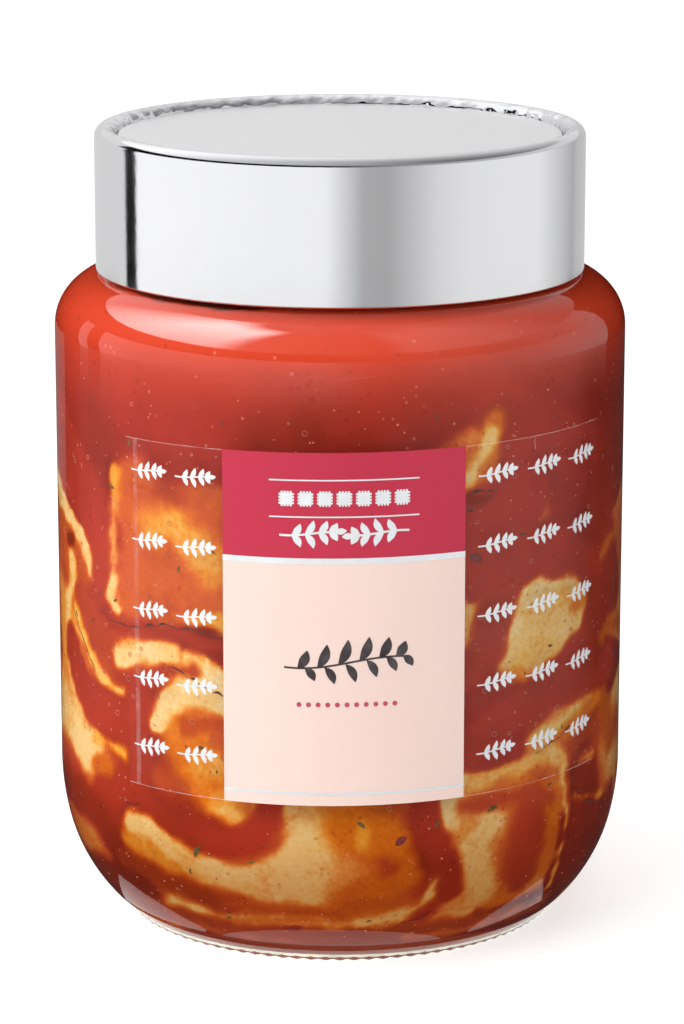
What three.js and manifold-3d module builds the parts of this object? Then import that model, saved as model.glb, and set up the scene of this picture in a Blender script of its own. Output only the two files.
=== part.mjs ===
// A shut glass jar of ravioli: the glass, its silver lid, the printed film label, and the heap of ravioli inside.
// Millimetres, +Z up, origin at the centre of the base, on the surface that the jar stands on. The label faces -Y.
import * as THREE from "three";
import { mergeVertices } from "three/addons/utils/BufferGeometryUtils.js";
import Module from "manifold-3d";

// Driving dimensions of the jar
const bodyRadius = 50;
const wallThickness = 3;
const bodyTop = 105; // where the straight wall turns into the shoulder
const shoulderRise = 9.7;
const innerShoulderRise = 7.6;
const neckRadius = 39.5;
const mouthHeight = 135;
const baseRingRadius = 38.4;
const baseRingWidth = 2.4;
const pushUp = 2.6; // how far the underside rises inside its ring
const heelStart = 27.2; // where the straight wall turns into the heel
const upperHeelRadius = 43.7; // a slow turn first
const upperHeelSweep = THREE.MathUtils.degToRad(13.6);
const lowerHeelRadius = 29.8; // then a tighter one down to the ring
const innerHeelRadius = 26;
const innerHeelStart = 28.5;
const floorHeight = 5.5; // inner floor of the glass at its edge
const floorDome = 2; // and how much higher it is in the middle

// Driving dimensions of the lid
const lidRadius = 42.7;
const lidBottom = 114.8;
const lidTop = 139.8;
const lidWall = 1.1;
const rimRoll = 1.9; // radius of the rolled top edge
const discTop = 138.3;
const discThickness = 1.5;
const ledgeInner = 36.5;

// Driving dimensions of the label, with angles round the jar from its front, counted towards +X
const filmThickness = 0.3;
const labelBottom = 31.7;
const labelTop = 92.2;
const bandBottom = 74.3;
const filmStart = -45.8;
const panelStart = -22.8;
const panelEnd = 24.5;
const filmEnd = 60.8;

// Driving dimensions of one raviolo
const side = 30;
const crimp = 4.2; // width of the flat pressed border
const borderThickness = 1.8;
const domeThickness = 6.4; // added in the middle by the filling
const cornerPull = 0.07; // how much the corners are drawn in

const clearance = 0.3; // between solids that touch in the real object
const turns = 44; // facets round the jar and the lid
const pillowCells = 4; // cells along one side of a raviolo

const degrees = THREE.MathUtils.degToRad;

function arcPoints(centreR, centreZ, radius, from, to, count, rise = radius) {
  const points = [];
  for (let i = 0; i <= count; i++) {
    const angle = from + ((to - from) * i) / count;
    points.push([centreR + radius * Math.cos(angle), centreZ + rise * Math.sin(angle)]);
  }
  return points;
}

// Turns a closed outline of [radius, height] pairs round the Z axis.
function turned(outline) {
  const points = [...outline, outline[0]].map(([r, z]) => new THREE.Vector2(Math.max(r, 0), z));
  const geometry = new THREE.LatheGeometry(points, turns);
  geometry.rotateX(Math.PI / 2);
  return geometry;
}

// The glass, from the middle of its underside outwards, up the outside and down the inside
function glassOutline() {
  const upperCentre = [bodyRadius - upperHeelRadius, heelStart];
  const lowerCentre = [
    upperCentre[0] + (upperHeelRadius - lowerHeelRadius) * Math.cos(upperHeelSweep),
    upperCentre[1] - (upperHeelRadius - lowerHeelRadius) * Math.sin(upperHeelSweep),
  ];
  const lowerEnd = Math.acos((baseRingRadius + 0.2 - lowerCentre[0]) / lowerHeelRadius);
  const neckInner = neckRadius - wallThickness;
  const shoulderWidth = bodyRadius - neckRadius;
  const innerCentre = bodyRadius - wallThickness - innerHeelRadius;
  const innerHeelEnd = Math.asin((innerHeelStart - floorHeight) / innerHeelRadius);
  const floorEdge = innerCentre + innerHeelRadius * Math.cos(innerHeelEnd);
  return [
    [0, pushUp],
    [baseRingRadius * 0.5, pushUp * 0.85],
    [baseRingRadius - baseRingWidth - 1.5, pushUp * 0.45],
    [baseRingRadius - baseRingWidth, 0],
    [baseRingRadius, 0],
    ...arcPoints(...lowerCentre, lowerHeelRadius, -lowerEnd, -upperHeelSweep, 6),
    [bodyRadius, heelStart],
    ...arcPoints(neckRadius, bodyTop, shoulderWidth, 0, Math.PI / 2, 6, shoulderRise),
    [neckRadius, mouthHeight - 0.8],
    [neckRadius - 0.8, mouthHeight],
    [neckInner + 0.8, mouthHeight],
    [neckInner, mouthHeight - 0.8],
    ...arcPoints(neckInner, bodyTop, shoulderWidth, Math.PI / 2, 0, 5, innerShoulderRise),
    ...arcPoints(innerCentre, innerHeelStart, innerHeelRadius, 0, -innerHeelEnd, 5),
    [floorEdge * 0.5, floorHeight + floorDome * 0.7],
    [0, floorHeight + floorDome],
  ];
}

// The lid's skirt, its rolled rim and the ledge that carries its disc
function lidOutline() {
  const rollHeight = lidTop - rimRoll;
  const ledgeTop = discTop - discThickness - clearance;
  const ledgeBottom = mouthHeight + clearance;
  return [
    [lidRadius - lidWall, lidBottom],
    [lidRadius, lidBottom],
    ...arcPoints(lidRadius - rimRoll, rollHeight, rimRoll, 0, Math.PI, 6),
    [lidRadius - 2 * rimRoll, ledgeTop],
    [ledgeInner, ledgeTop],
    [ledgeInner, ledgeBottom],
    [lidRadius - lidWall, ledgeBottom],
  ];
}

function discOutline() {
  const radius = lidRadius - 2 * rimRoll - clearance;
  const bottom = discTop - discThickness;
  return [
    [0, bottom],
    [radius, bottom],
    [radius, discTop - 0.2],
    [radius - 0.2, discTop],
    [0, discTop],
  ];
}

// A closed surface from a grid of points on its front and a grid behind it, with the same number of rows and columns
function closedSheet(front, back) {
  const rows = front.length;
  const columns = front[0].length;
  const positions = [...front.flat(), ...back.flat()].flat();
  const at = (i, j) => i * columns + j;
  const behind = rows * columns;
  const index = [];
  const quad = (a, b, c, d) => index.push(a, b, c, a, c, d);
  for (let i = 0; i + 1 < rows; i++) {
    for (let j = 0; j + 1 < columns; j++) {
      quad(at(i, j), at(i, j + 1), at(i + 1, j + 1), at(i + 1, j));
      quad(behind + at(i, j), behind + at(i + 1, j), behind + at(i + 1, j + 1), behind + at(i, j + 1));
    }
  }
  for (let j = 0; j + 1 < columns; j++) {
    quad(at(0, j), behind + at(0, j), behind + at(0, j + 1), at(0, j + 1));
    quad(at(rows - 1, j), at(rows - 1, j + 1), behind + at(rows - 1, j + 1), behind + at(rows - 1, j));
  }
  for (let i = 0; i + 1 < rows; i++) {
    quad(at(i, 0), at(i + 1, 0), behind + at(i + 1, 0), behind + at(i, 0));
    quad(at(i, columns - 1), behind + at(i, columns - 1), behind + at(i + 1, columns - 1), at(i + 1, columns - 1));
  }
  const geometry = new THREE.BufferGeometry();
  geometry.setAttribute("position", new THREE.Float32BufferAttribute(positions, 3));
  geometry.setIndex(index);
  return geometry;
}

// A point round the jar: the angle is zero at the front and grows towards +X
function roundPoint(radius, angle, z) {
  return [radius * Math.sin(angle), -radius * Math.cos(angle), z];
}

// A piece of film on the straight wall
function filmPiece(startAngle, endAngle, bottom, top) {
  const inner = bodyRadius + clearance;
  const outer = inner + filmThickness;
  const steps = Math.ceil((endAngle - startAngle) / 4);
  const row = (radius, z) => {
    const points = [];
    for (let i = 0; i <= steps; i++) {
      const angle = degrees(startAngle + ((endAngle - startAngle) * i) / steps);
      points.push(roundPoint(radius, angle, z));
    }
    return points;
  };
  return closedSheet([row(outer, bottom), row(outer, top)], [row(inner, bottom), row(inner, top)]);
}

// A place on the inner face of the glass, by the distance up its wall from the edge of the floor,
// with the direction that points into the jar
function wallPlace(distance) {
  const centre = bodyRadius - wallThickness - innerHeelRadius;
  const sweep = Math.asin((innerHeelStart - floorHeight) / innerHeelRadius);
  const heelLength = sweep * innerHeelRadius;
  if (distance >= heelLength) {
    return { r: bodyRadius - wallThickness, z: innerHeelStart + distance - heelLength, inR: -1, inZ: 0 };
  }
  if (distance >= 0) {
    const angle = sweep - distance / innerHeelRadius;
    return {
      r: centre + innerHeelRadius * Math.cos(angle),
      z: innerHeelStart - innerHeelRadius * Math.sin(angle),
      inR: -Math.cos(angle),
      inZ: Math.sin(angle),
    };
  }
  return { r: centre + innerHeelRadius * Math.cos(sweep) + distance, z: floorHeight, inR: 0, inZ: 1 };
}

// The distance up the wall of a point at a given height
function distanceAt(z) {
  const sweep = Math.asin((innerHeelStart - floorHeight) / innerHeelRadius);
  if (z >= innerHeelStart) {
    return sweep * innerHeelRadius + z - innerHeelStart;
  }
  return (sweep - Math.asin((innerHeelStart - z) / innerHeelRadius)) * innerHeelRadius;
}

// How far the filling raises a raviolo at u, v, both from -1 to 1 across it
function pillowDome(u, v) {
  const flat = 1 - (2 * crimp) / side;
  const across = Math.max(0, 1 - (u / flat) ** 2);
  const along = Math.max(0, 1 - (v / flat) ** 2);
  return domeThickness * Math.sqrt(across * along);
}

// One raviolo pressed against the glass. at: [angle, height] of its middle. spin turns it in its own plane.
// tuck sinks its middle below the glass, leanU and leanV tip it, and cup bends its edges towards the glass.
// bulge is the share of its dome that faces the glass, and size scales its side.
function wallRaviolo({ at, spin = 0, size = 1, tuck = 0, leanU = 0, leanV = 0, cup = 0, bulge = 0 }) {
  const [angle, height] = at;
  const middle = distanceAt(height);
  const turn = degrees(spin);
  const half = (side / 2) * size;
  const front = [];
  const back = [];
  for (let i = 0; i <= pillowCells; i++) {
    front.push([]);
    back.push([]);
    for (let j = 0; j <= pillowCells; j++) {
      const u = (2 * j) / pillowCells - 1;
      const v = (2 * i) / pillowCells - 1;
      const x = half * u * (1 - cornerPull * v * v);
      const y = half * v * (1 - cornerPull * u * u);
      const across = x * Math.cos(turn) - y * Math.sin(turn);
      const along = x * Math.sin(turn) + y * Math.cos(turn);
      const dome = pillowDome(u, v);
      const sunk = tuck + leanU * x + leanV * y - cup * (u * u + v * v - 0.7) - bulge * dome;
      const outerDepth = clearance + Math.max(0, sunk);
      for (const [grid, depth] of [[front, outerDepth], [back, outerDepth + borderThickness + dome]]) {
        const place = wallPlace(middle + along);
        const radius = place.r + place.inR * depth;
        const z = place.z + place.inZ * depth;
        grid[i].push(roundPoint(radius, degrees(angle) + across / Math.max(place.r, 30), z));
      }
    }
  }
  return closedSheet(front, back);
}

// The ravioli that show through the front and the sides of the glass
const frontRavioli = [
  { at: [-37.5, 73], spin: -2, size: 0.88, tuck: 0.95, cup: 1, leanU: 0.035, leanV: 0.05 },
  { at: [-24, 38.5], spin: -20, size: 0.95, tuck: 0.55, cup: 0.75, leanU: -0.01, leanV: -0.06 },
  { at: [-50, 53], spin: -9, size: 0.8, tuck: 0.75, cup: 0.5, leanU: -0.04, leanV: -0.05 },
  { at: [-68, 37], spin: -22, tuck: 0.7, cup: 0.7, leanU: 0.02, leanV: 0.02, bulge: 0.1 },
  { at: [-73, 66], spin: -30, tuck: 0.6, cup: 1.1, leanV: -0.02 },
  { at: [-33, 17.5], spin: -14, tuck: 0.45, cup: 0.25, leanV: 0.06 },
  { at: [-4, 23], spin: 16, tuck: 0.65, cup: 0.2, leanU: 0.075 },
  { at: [9, 16], spin: 6, tuck: 1.15, cup: 0.75, leanV: 0.05 },
  { at: [36, 22], spin: -2, size: 0.93, tuck: 0.95, cup: 0.8, leanU: 0.03 },
  { at: [56, 38], spin: 14, size: 0.9, tuck: 0.9, cup: 0.7, leanV: -0.05 },
  { at: [49, 54.5], spin: -3, size: 0.85, tuck: 0.45, cup: 0.15, leanU: 0.02, leanV: -0.06, bulge: 0.05 },
  { at: [27.5, 82], spin: 32, size: 0.85, tuck: 2.7, leanU: -0.16, leanV: -0.05 },
  { at: [75, 66], spin: -20, tuck: 1, cup: 1 },
  { at: [73, 27], spin: 12, tuck: 1.6, leanU: -0.05, leanV: -0.08, bulge: 0.1 },
  { at: [-66, 14], spin: 8, tuck: 1.4, leanU: -0.03, leanV: 0.05, bulge: 0.1 },
  { at: [-9, 68], spin: 8, tuck: 0.8, cup: 0.8 },
  { at: [14, 62], spin: -18, tuck: 0.6 },
  { at: [6, 44], spin: 22, tuck: 0.7, cup: 0.8 },
];

// Round the back they lie in three rows, each row half a step on from the one below, with a little disorder
const backRows = [17, 42, 67];
const backStart = 98;
const backEnd = 262;
const backCount = 5;

// A small repeatable source of numbers from 0 to 1
function seededRandom(seed) {
  let state = seed;
  return () => {
    state = (state * 1664525 + 1013904223) % 4294967296;
    return state / 4294967296;
  };
}

function backRavioli() {
  const random = seededRandom(11);
  const step = (backEnd - backStart) / (backCount - 1);
  const made = [];
  backRows.forEach((height, row) => {
    for (let i = 0; i < backCount; i++) {
      const shift = (row % 2) * 0.5 * step * (i + 1 < backCount ? 1 : 0);
      made.push({
        at: [backStart + i * step + shift + 6 * (random() - 0.5), height + 5 * (random() - 0.5)],
        spin: 50 * (random() - 0.5),
        tuck: 0.2 + 1.2 * random(),
        cup: 1.8 * random(),
        leanU: 0.12 * (random() - 0.5),
        leanV: 0.12 * (random() - 0.5),
        bulge: 0.05,
      });
    }
  });
  return made;
}

// On top they lie in a ring, each with an edge on the next one, round one in the middle
const topCount = 5;
const topRing = 20;
const topHeight = 83;

function topRavioli() {
  const random = seededRandom(5);
  const made = [{ at: [2, -1, topHeight + 5], spin: 20, tip: [0.1, -0.06] }];
  for (let i = 0; i < topCount; i++) {
    const angle = degrees(20 + (360 * i) / topCount + 10 * (random() - 0.5));
    const outX = Math.sin(angle);
    const outY = -Math.cos(angle);
    made.push({
      at: [topRing * outX, topRing * outY, topHeight + 2 * random()],
      spin: 90 * random(),
      tip: [-0.22 * outY - 0.1 * outX, 0.22 * outX - 0.1 * outY],
    });
  }
  return made;
}

// One raviolo lying flat, with tip as its slope along X and Y
function lyingRaviolo({ at, spin, tip }) {
  const turn = degrees(spin);
  const front = [];
  const back = [];
  for (let i = 0; i <= pillowCells; i++) {
    front.push([]);
    back.push([]);
    for (let j = 0; j <= pillowCells; j++) {
      const u = (2 * j) / pillowCells - 1;
      const v = (2 * i) / pillowCells - 1;
      const x = (side / 2) * u * (1 - cornerPull * v * v);
      const y = (side / 2) * v * (1 - cornerPull * u * u);
      const across = x * Math.cos(turn) - y * Math.sin(turn);
      const along = x * Math.sin(turn) + y * Math.cos(turn);
      const level = at[2] + tip[0] * across + tip[1] * along;
      const dome = pillowDome(u, v);
      front[i].push([at[0] + across, at[1] + along, level + borderThickness / 2 + 0.6 * dome]);
      back[i].push([at[0] + across, at[1] + along, level - borderThickness / 2 - 0.4 * dome]);
    }
  }
  return closedSheet(front, back);
}

// The core that the ravioli are pressed round: the inner form of the jar, a little smaller
function coreOutline() {
  const gap = 2.6;
  const radius = bodyRadius - wallThickness - gap;
  const heel = innerHeelRadius - gap;
  const centre = radius - heel;
  const bottom = floorHeight + floorDome + 1;
  const heelEnd = Math.asin(Math.min(1, (innerHeelStart - bottom) / heel));
  const top = 80;
  return [
    [0, bottom],
    ...arcPoints(centre, innerHeelStart, heel, -heelEnd, 0, 4),
    [radius, top - 8],
    [radius - 9, top],
    [0, top + 3],
  ];
}

const wasm = await Module();
wasm.setup();

function toSolid(geometry) {
  const bare = geometry.clone();
  bare.deleteAttribute("normal");
  bare.deleteAttribute("uv");
  const merged = mergeVertices(bare, 1e-4);
  return new wasm.Manifold(
    new wasm.Mesh({
      numProp: 3,
      vertProperties: new Float32Array(merged.attributes.position.array),
      triVerts: new Uint32Array(merged.index.array),
    }),
  );
}

function toGeometry(solid) {
  const made = solid.getMesh();
  const geometry = new THREE.BufferGeometry();
  geometry.setAttribute("position", new THREE.BufferAttribute(new Float32Array(made.vertProperties), 3));
  geometry.setIndex(new THREE.BufferAttribute(new Uint32Array(made.triVerts), 1));
  geometry.computeVertexNormals();
  return geometry;
}

// The heap is one body. Small pockets that end up sealed between the ravioli are filled.
function heapGeometry() {
  let heap = toSolid(turned(coreOutline()));
  for (const raviolo of [...frontRavioli, ...backRavioli()]) {
    heap = heap.add(toSolid(wallRaviolo(raviolo)));
  }
  for (const raviolo of topRavioli()) {
    heap = heap.add(toSolid(lyingRaviolo(raviolo)));
  }
  const surfaces = heap.decompose();
  surfaces.sort((a, b) => b.volume() - a.volume());
  return toGeometry(surfaces[0]);
}

const jar = new THREE.Group();

function addPiece(name, geometry, color, roughness, metalness = 0, extra = {}) {
  if (!geometry.getAttribute("normal")) {
    geometry.computeVertexNormals();
  }
  const material = new THREE.MeshStandardMaterial({ color, roughness, metalness, ...extra });
  const mesh = new THREE.Mesh(geometry, material);
  mesh.name = name;
  jar.add(mesh);
}

addPiece("jar_glass", turned(glassOutline()), "#eef4ef", 0.03, 0, { transparent: true, opacity: 0.25 });
addPiece("lid_shell", turned(lidOutline()), "#c9cacb", 0.18, 1);
addPiece("lid_disc", turned(discOutline()), "#d4d5d5", 0.35, 1);
addPiece("label_band", filmPiece(panelStart, panelEnd, bandBottom, labelTop), "#cb3050", 0.5);
addPiece("label_panel", filmPiece(panelStart, panelEnd, labelBottom, bandBottom - clearance), "#f0ddd2", 0.55);
addPiece("label_film_left", filmPiece(filmStart, panelStart - clearance, labelBottom, labelTop), "#e9e4e0", 0.2, 0, {
  transparent: true,
  opacity: 0.2,
});
addPiece("label_film_right", filmPiece(panelEnd + clearance, filmEnd, labelBottom, labelTop), "#e9e4e0", 0.2, 0, {
  transparent: true,
  opacity: 0.2,
});
addPiece("ravioli_heap", heapGeometry(), "#e0b273", 0.6);

export default jar;
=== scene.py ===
import math
import bpy
import numpy as np
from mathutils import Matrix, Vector, noise


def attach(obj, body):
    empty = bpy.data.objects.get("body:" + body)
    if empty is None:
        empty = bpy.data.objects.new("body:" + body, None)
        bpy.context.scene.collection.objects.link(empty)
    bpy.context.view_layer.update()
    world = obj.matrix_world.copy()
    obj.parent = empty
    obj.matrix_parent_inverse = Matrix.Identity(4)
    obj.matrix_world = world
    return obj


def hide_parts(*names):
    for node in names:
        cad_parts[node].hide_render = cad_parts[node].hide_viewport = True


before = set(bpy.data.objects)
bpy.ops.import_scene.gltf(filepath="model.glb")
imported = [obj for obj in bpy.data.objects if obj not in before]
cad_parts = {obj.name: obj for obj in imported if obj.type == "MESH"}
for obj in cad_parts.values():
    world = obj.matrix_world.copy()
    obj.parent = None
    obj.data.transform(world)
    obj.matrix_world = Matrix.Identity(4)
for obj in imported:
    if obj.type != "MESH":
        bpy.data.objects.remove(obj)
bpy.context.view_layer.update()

scene = bpy.context.scene
mm = 0.001  # the numbers below are millimetres, as on the jar maker's drawing
randomSource = np.random.default_rng(20)
print("frame loaded")


# Small helpers for meshes

def arc(centreR, centreZ, radius, start, end, count, rise=None):
    rise = radius if rise is None else rise
    angles = np.linspace(start, end, count + 1)
    return [(centreR + radius * math.cos(a), centreZ + rise * math.sin(a)) for a in angles]


def roundTheJar(radius, angle, height):
    # the angle is zero at the front and grows to the right
    return np.stack([radius * np.sin(angle), -radius * np.cos(angle), height + 0 * angle], -1)


def newObject(name, points, faces, material, smooth=True):
    mesh = bpy.data.meshes.new(name)
    mesh.from_pydata(np.asarray(points) * mm, [], faces)
    mesh.materials.append(material)
    mesh.polygons.foreach_set("use_smooth", [smooth] * len(mesh.polygons))
    mesh.update()
    piece = bpy.data.objects.new(name, mesh)
    scene.collection.objects.link(piece)
    return piece


def setValues(piece, name, values):
    attribute = piece.data.attributes.new(name, "FLOAT", "POINT")
    attribute.data.foreach_set("value", np.asarray(values, np.float32))


def gridFaces(rows, columns, closedRound=False, closedRows=False, start=0):
    # quads over a grid of points, wrapped round where asked
    rowSteps = rows if closedRows else rows - 1
    columnSteps = columns if closedRound else columns - 1
    i, j = np.meshgrid(np.arange(rowSteps), np.arange(columnSteps), indexing="ij")
    i2, j2 = (i + 1) % rows, (j + 1) % columns
    quads = np.stack([i * columns + j, i * columns + j2, i2 * columns + j2, i2 * columns + j], -1)
    return (quads.reshape(-1, 4) + start).tolist()


def slabFaces(rows, columns, start=0):
    # a closed sheet: its front grid, its back grid after it and the sides round their edge
    count = rows * columns
    front = gridFaces(rows, columns, start=start)
    back = [face[::-1] for face in gridFaces(rows, columns, start=start + count)]
    edge = list(range(columns)) + [columns * i + columns - 1 for i in range(1, rows)]
    edge += [count - 2 - i for i in range(columns - 1)] + [columns * (rows - 2 - i) for i in range(rows - 2)]
    sides = [(start + after, start + here, start + here + count, start + after + count)
             for here, after in zip(edge, edge[1:] + edge[:1])]
    return front + back + sides


def stripFaces(count, start):
    # a closed strip of four lines: upper left, upper right, lower left, lower right
    a, b, d, e = (start + line * count for line in range(4))
    faces = []
    for k in range(count - 1):
        faces.append((a + k, a + k + 1, b + k + 1, b + k))
        faces.append((d + k, e + k, e + k + 1, d + k + 1))
        faces.append((a + k, d + k, d + k + 1, a + k + 1))
        faces.append((b + k, b + k + 1, e + k + 1, e + k))
    last = count - 1
    return faces + [(a, b, e, d), (a + last, d + last, e + last, b + last)]


def withMiddles(points, faces, rings, segments, lowest, highest):
    # close a round form by fans to a middle point at its bottom and its top
    low, high, last = len(points), len(points) + 1, (rings - 1) * segments
    for j in range(segments):
        after = (j + 1) % segments
        faces.append((low, after, j))
        faces.append((high, last + j, last + after))
    return np.vstack([points, [[0, 0, lowest], [0, 0, highest]]])


def turnedObject(name, outline, segments, material, shift=None):
    # outline runs up the outside, either from axis to axis or round a closed loop, as (radius, height)
    outline = np.array(outline, float)
    angles = np.linspace(0, 2 * math.pi, segments, endpoint=False)
    onAxis = outline[0, 0] < 1e-6
    rings = outline[1:-1] if onAxis else outline
    radius = np.repeat(rings[:, :1], segments, 1)
    height = np.repeat(rings[:, 1:], segments, 1)
    if shift:
        radius, height = shift(radius, height, np.broadcast_to(angles, radius.shape))
    points = roundTheJar(radius, angles, height).reshape(-1, 3)
    faces = gridFaces(len(rings), segments, closedRound=True, closedRows=not onAxis)
    if onAxis:
        points = withMiddles(points, faces, len(rings), segments, outline[0, 1], outline[-1, 1])
    return newObject(name, points, faces, material)


# Small helpers for materials

def linearColour(red, green, blue, alpha=1.0):
    def one(value):
        value = value / 255
        return value / 12.92 if value <= 0.04045 else ((value + 0.055) / 1.055) ** 2.4
    return (one(red), one(green), one(blue), alpha)


class Finish:
    # a material's node tree, with short calls for the nodes used here
    def __init__(self, name):
        self.material = bpy.data.materials.new(name)
        self.material.use_nodes = True
        self.tree = self.material.node_tree
        self.shader = self.tree.nodes["Principled BSDF"]
        self.output = self.tree.nodes["Material Output"]
        self.place = self.tree.nodes.new("ShaderNodeTexCoord").outputs["Object"]

    def link(self, source, target):
        self.tree.links.new(source, target)

    def feed(self, target, value):
        if isinstance(value, (int, float, tuple)):
            target.default_value = value
        else:
            self.link(value, target)

    def set(self, **values):
        for name, value in values.items():
            self.feed(self.shader.inputs[name.replace("_", " ")], value)

    def sums(self, operation, first, second=0.0, third=0.0, clamp=False):
        node = self.tree.nodes.new("ShaderNodeMath")
        node.operation = operation
        node.use_clamp = clamp
        for socket, value in zip(node.inputs, (first, second, third)):
            self.feed(socket, value)
        return node.outputs[0]

    def noise(self, scale, detail=3.0, roughness=0.55, distortion=0.0, place=None):
        node = self.tree.nodes.new("ShaderNodeTexNoise")
        node.inputs["Scale"].default_value = scale
        node.inputs["Detail"].default_value = detail
        node.inputs["Roughness"].default_value = roughness
        node.inputs["Distortion"].default_value = distortion
        self.link(place or self.place, node.inputs["Vector"])
        return node.outputs["Fac"]

    def spots(self, scale, place=None):
        node = self.tree.nodes.new("ShaderNodeTexVoronoi")
        node.inputs["Scale"].default_value = scale
        self.link(place or self.place, node.inputs["Vector"])
        return node.outputs["Distance"]

    def range(self, value, low, high, lowOut=0.0, highOut=1.0, smooth=False):
        node = self.tree.nodes.new("ShaderNodeMapRange")
        node.interpolation_type = "SMOOTHSTEP" if smooth else "LINEAR"
        self.feed(node.inputs["Value"], value)
        node.inputs["From Min"].default_value = low
        node.inputs["From Max"].default_value = high
        node.inputs["To Min"].default_value = lowOut
        node.inputs["To Max"].default_value = highOut
        return node.outputs["Result"]

    def ramp(self, value, stops):
        node = self.tree.nodes.new("ShaderNodeValToRGB")
        self.link(value, node.inputs["Fac"])
        ramp = node.color_ramp
        while len(ramp.elements) < len(stops):
            ramp.elements.new(0.5)
        for element, (position, colour) in zip(ramp.elements, stops):
            element.position = position
            element.color = colour
        return node.outputs["Color"]

    def mix(self, share, first, second, blend="MIX"):
        node = self.tree.nodes.new("ShaderNodeMix")
        node.data_type = "RGBA"
        node.blend_type = blend
        self.feed(node.inputs["Factor"], share)
        self.feed(node.inputs[6], first)  # sockets 6, 7 and 2 are the colour ones
        self.feed(node.inputs[7], second)
        return node.outputs[2]

    def bump(self, height, strength, distance):
        node = self.tree.nodes.new("ShaderNodeBump")
        node.inputs["Strength"].default_value = strength
        node.inputs["Distance"].default_value = distance
        self.link(height, node.inputs["Height"])
        self.link(node.outputs["Normal"], self.shader.inputs["Normal"])

    def value(self, name):
        # a number kept at each point of the mesh
        node = self.tree.nodes.new("ShaderNodeAttribute")
        node.attribute_name = name
        return node.outputs["Fac"]

    def along(self):
        # the place on each axis
        node = self.tree.nodes.new("ShaderNodeSeparateXYZ")
        self.link(self.place, node.inputs["Vector"])
        return node.outputs

    def stretched(self, x, y, z):
        node = self.tree.nodes.new("ShaderNodeMapping")
        node.inputs["Scale"].default_value = (x, y, z)
        self.link(self.place, node.inputs["Vector"])
        return node.outputs["Vector"]


# The camera: the photograph's angle, with a long lens a little above the lid

cameraPlace = {"position": (0.00035, -0.675, 0.230), "downward": 13.3, "lens": 137.2}
camera = bpy.data.objects.new("Camera", bpy.data.cameras.new("Camera"))
camera.location = cameraPlace["position"]
camera.rotation_euler = (math.radians(90 - cameraPlace["downward"]), 0, 0)
camera.data.sensor_width = 36
camera.data.lens = cameraPlace["lens"]
camera.data.clip_start = 0.01
scene.collection.objects.link(camera)
scene.camera = camera
print("camera placed")


# The glass jar, with the same turned form as its solid

jarForm = {
    "bodyRadius": 50.0, "wall": 3.0, "bodyTop": 105.0, "shoulderRise": 9.7, "innerShoulderRise": 7.6,
    "neckRadius": 39.5, "mouthHeight": 135.0, "ringRadius": 38.4, "ringWidth": 2.4, "pushUp": 2.6,
    "heelStart": 27.2, "upperHeelRadius": 43.7, "upperHeelSweep": math.radians(13.6), "lowerHeelRadius": 29.8,
    "innerHeelRadius": 26.0, "innerHeelStart": 28.5, "floorHeight": 5.5, "floorDome": 2.0,
    "segments": 384, "ribs": 96, "ribDepth": 0.5,
}


def innerHeelSweep():
    f = jarForm
    return math.asin((f["innerHeelStart"] - f["floorHeight"]) / f["innerHeelRadius"])


def innerOutline():
    # from the neck down the inside to the edge of the floor
    f = jarForm
    shoulderWidth = f["bodyRadius"] - f["neckRadius"]
    neckInner = f["neckRadius"] - f["wall"]
    heelCentre = f["bodyRadius"] - f["wall"] - f["innerHeelRadius"]
    straight = [(f["bodyRadius"] - f["wall"], z) for z in (86, 68, 48)]
    return (
        arc(neckInner, f["bodyTop"], shoulderWidth, math.pi / 2, 0, 24, f["innerShoulderRise"])
        + straight
        + arc(heelCentre, f["innerHeelStart"], f["innerHeelRadius"], 0, -innerHeelSweep(), 24)
    )


def glassOutline():
    f = jarForm
    upperCentre = (f["bodyRadius"] - f["upperHeelRadius"], f["heelStart"])
    reach = f["upperHeelRadius"] - f["lowerHeelRadius"]
    lowerCentre = (upperCentre[0] + reach * math.cos(f["upperHeelSweep"]),
                   upperCentre[1] - reach * math.sin(f["upperHeelSweep"]))
    lowerEnd = math.acos((f["ringRadius"] + 0.2 - lowerCentre[0]) / f["lowerHeelRadius"])
    shoulderWidth = f["bodyRadius"] - f["neckRadius"]
    neck, inner, mouth = f["neckRadius"], f["neckRadius"] - f["wall"], f["mouthHeight"]
    underEdge = f["ringRadius"] - f["ringWidth"]
    under = [(r, f["pushUp"] * (1 - 0.55 * (r / 34.5) ** 2.1)) for r in np.linspace(0, 34.2, 18)]
    ring = [(35.1, 0.75), (35.6, 0.3), (underEdge + 0.1, 0.06), (underEdge + 0.5, 0.0),
            (37.2, 0.0), (37.9, 0.0), (f["ringRadius"], 0.1)]
    return (
        under + ring
        + arc(*lowerCentre, f["lowerHeelRadius"], -lowerEnd, -f["upperHeelSweep"], 30)
        + arc(*upperCentre, f["upperHeelRadius"], -f["upperHeelSweep"], 0, 8)[1:]
        + [(f["bodyRadius"], z) for z in (45, 64, 84)]
        + arc(neck, f["bodyTop"], shoulderWidth, 0, math.pi / 2, 32, f["shoulderRise"])
        + [(neck, 122), (neck, mouth - 0.8), (neck - 0.25, mouth - 0.2), (neck - 0.8, mouth)]
        + [(inner + 0.8, mouth), (inner + 0.25, mouth - 0.2), (inner, mouth - 0.8), (inner, 122)]
        + innerOutline()
        + [(r, f["floorHeight"] + f["floorDome"] * (1 - (r / 33.2) ** 2)) for r in np.linspace(32.6, 0, 12)]
    )


def knurled(radius, height, angle):
    # short ribs round the ring that the jar stands on
    ribs = 0.5 - 0.5 * np.cos(jarForm["ribs"] * angle)
    onRing = np.clip(1 - np.abs(radius - 37.4) / 2.2, 0, 1) * (height < 2.2)
    return radius, height + jarForm["ribDepth"] * ribs * onRing


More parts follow.
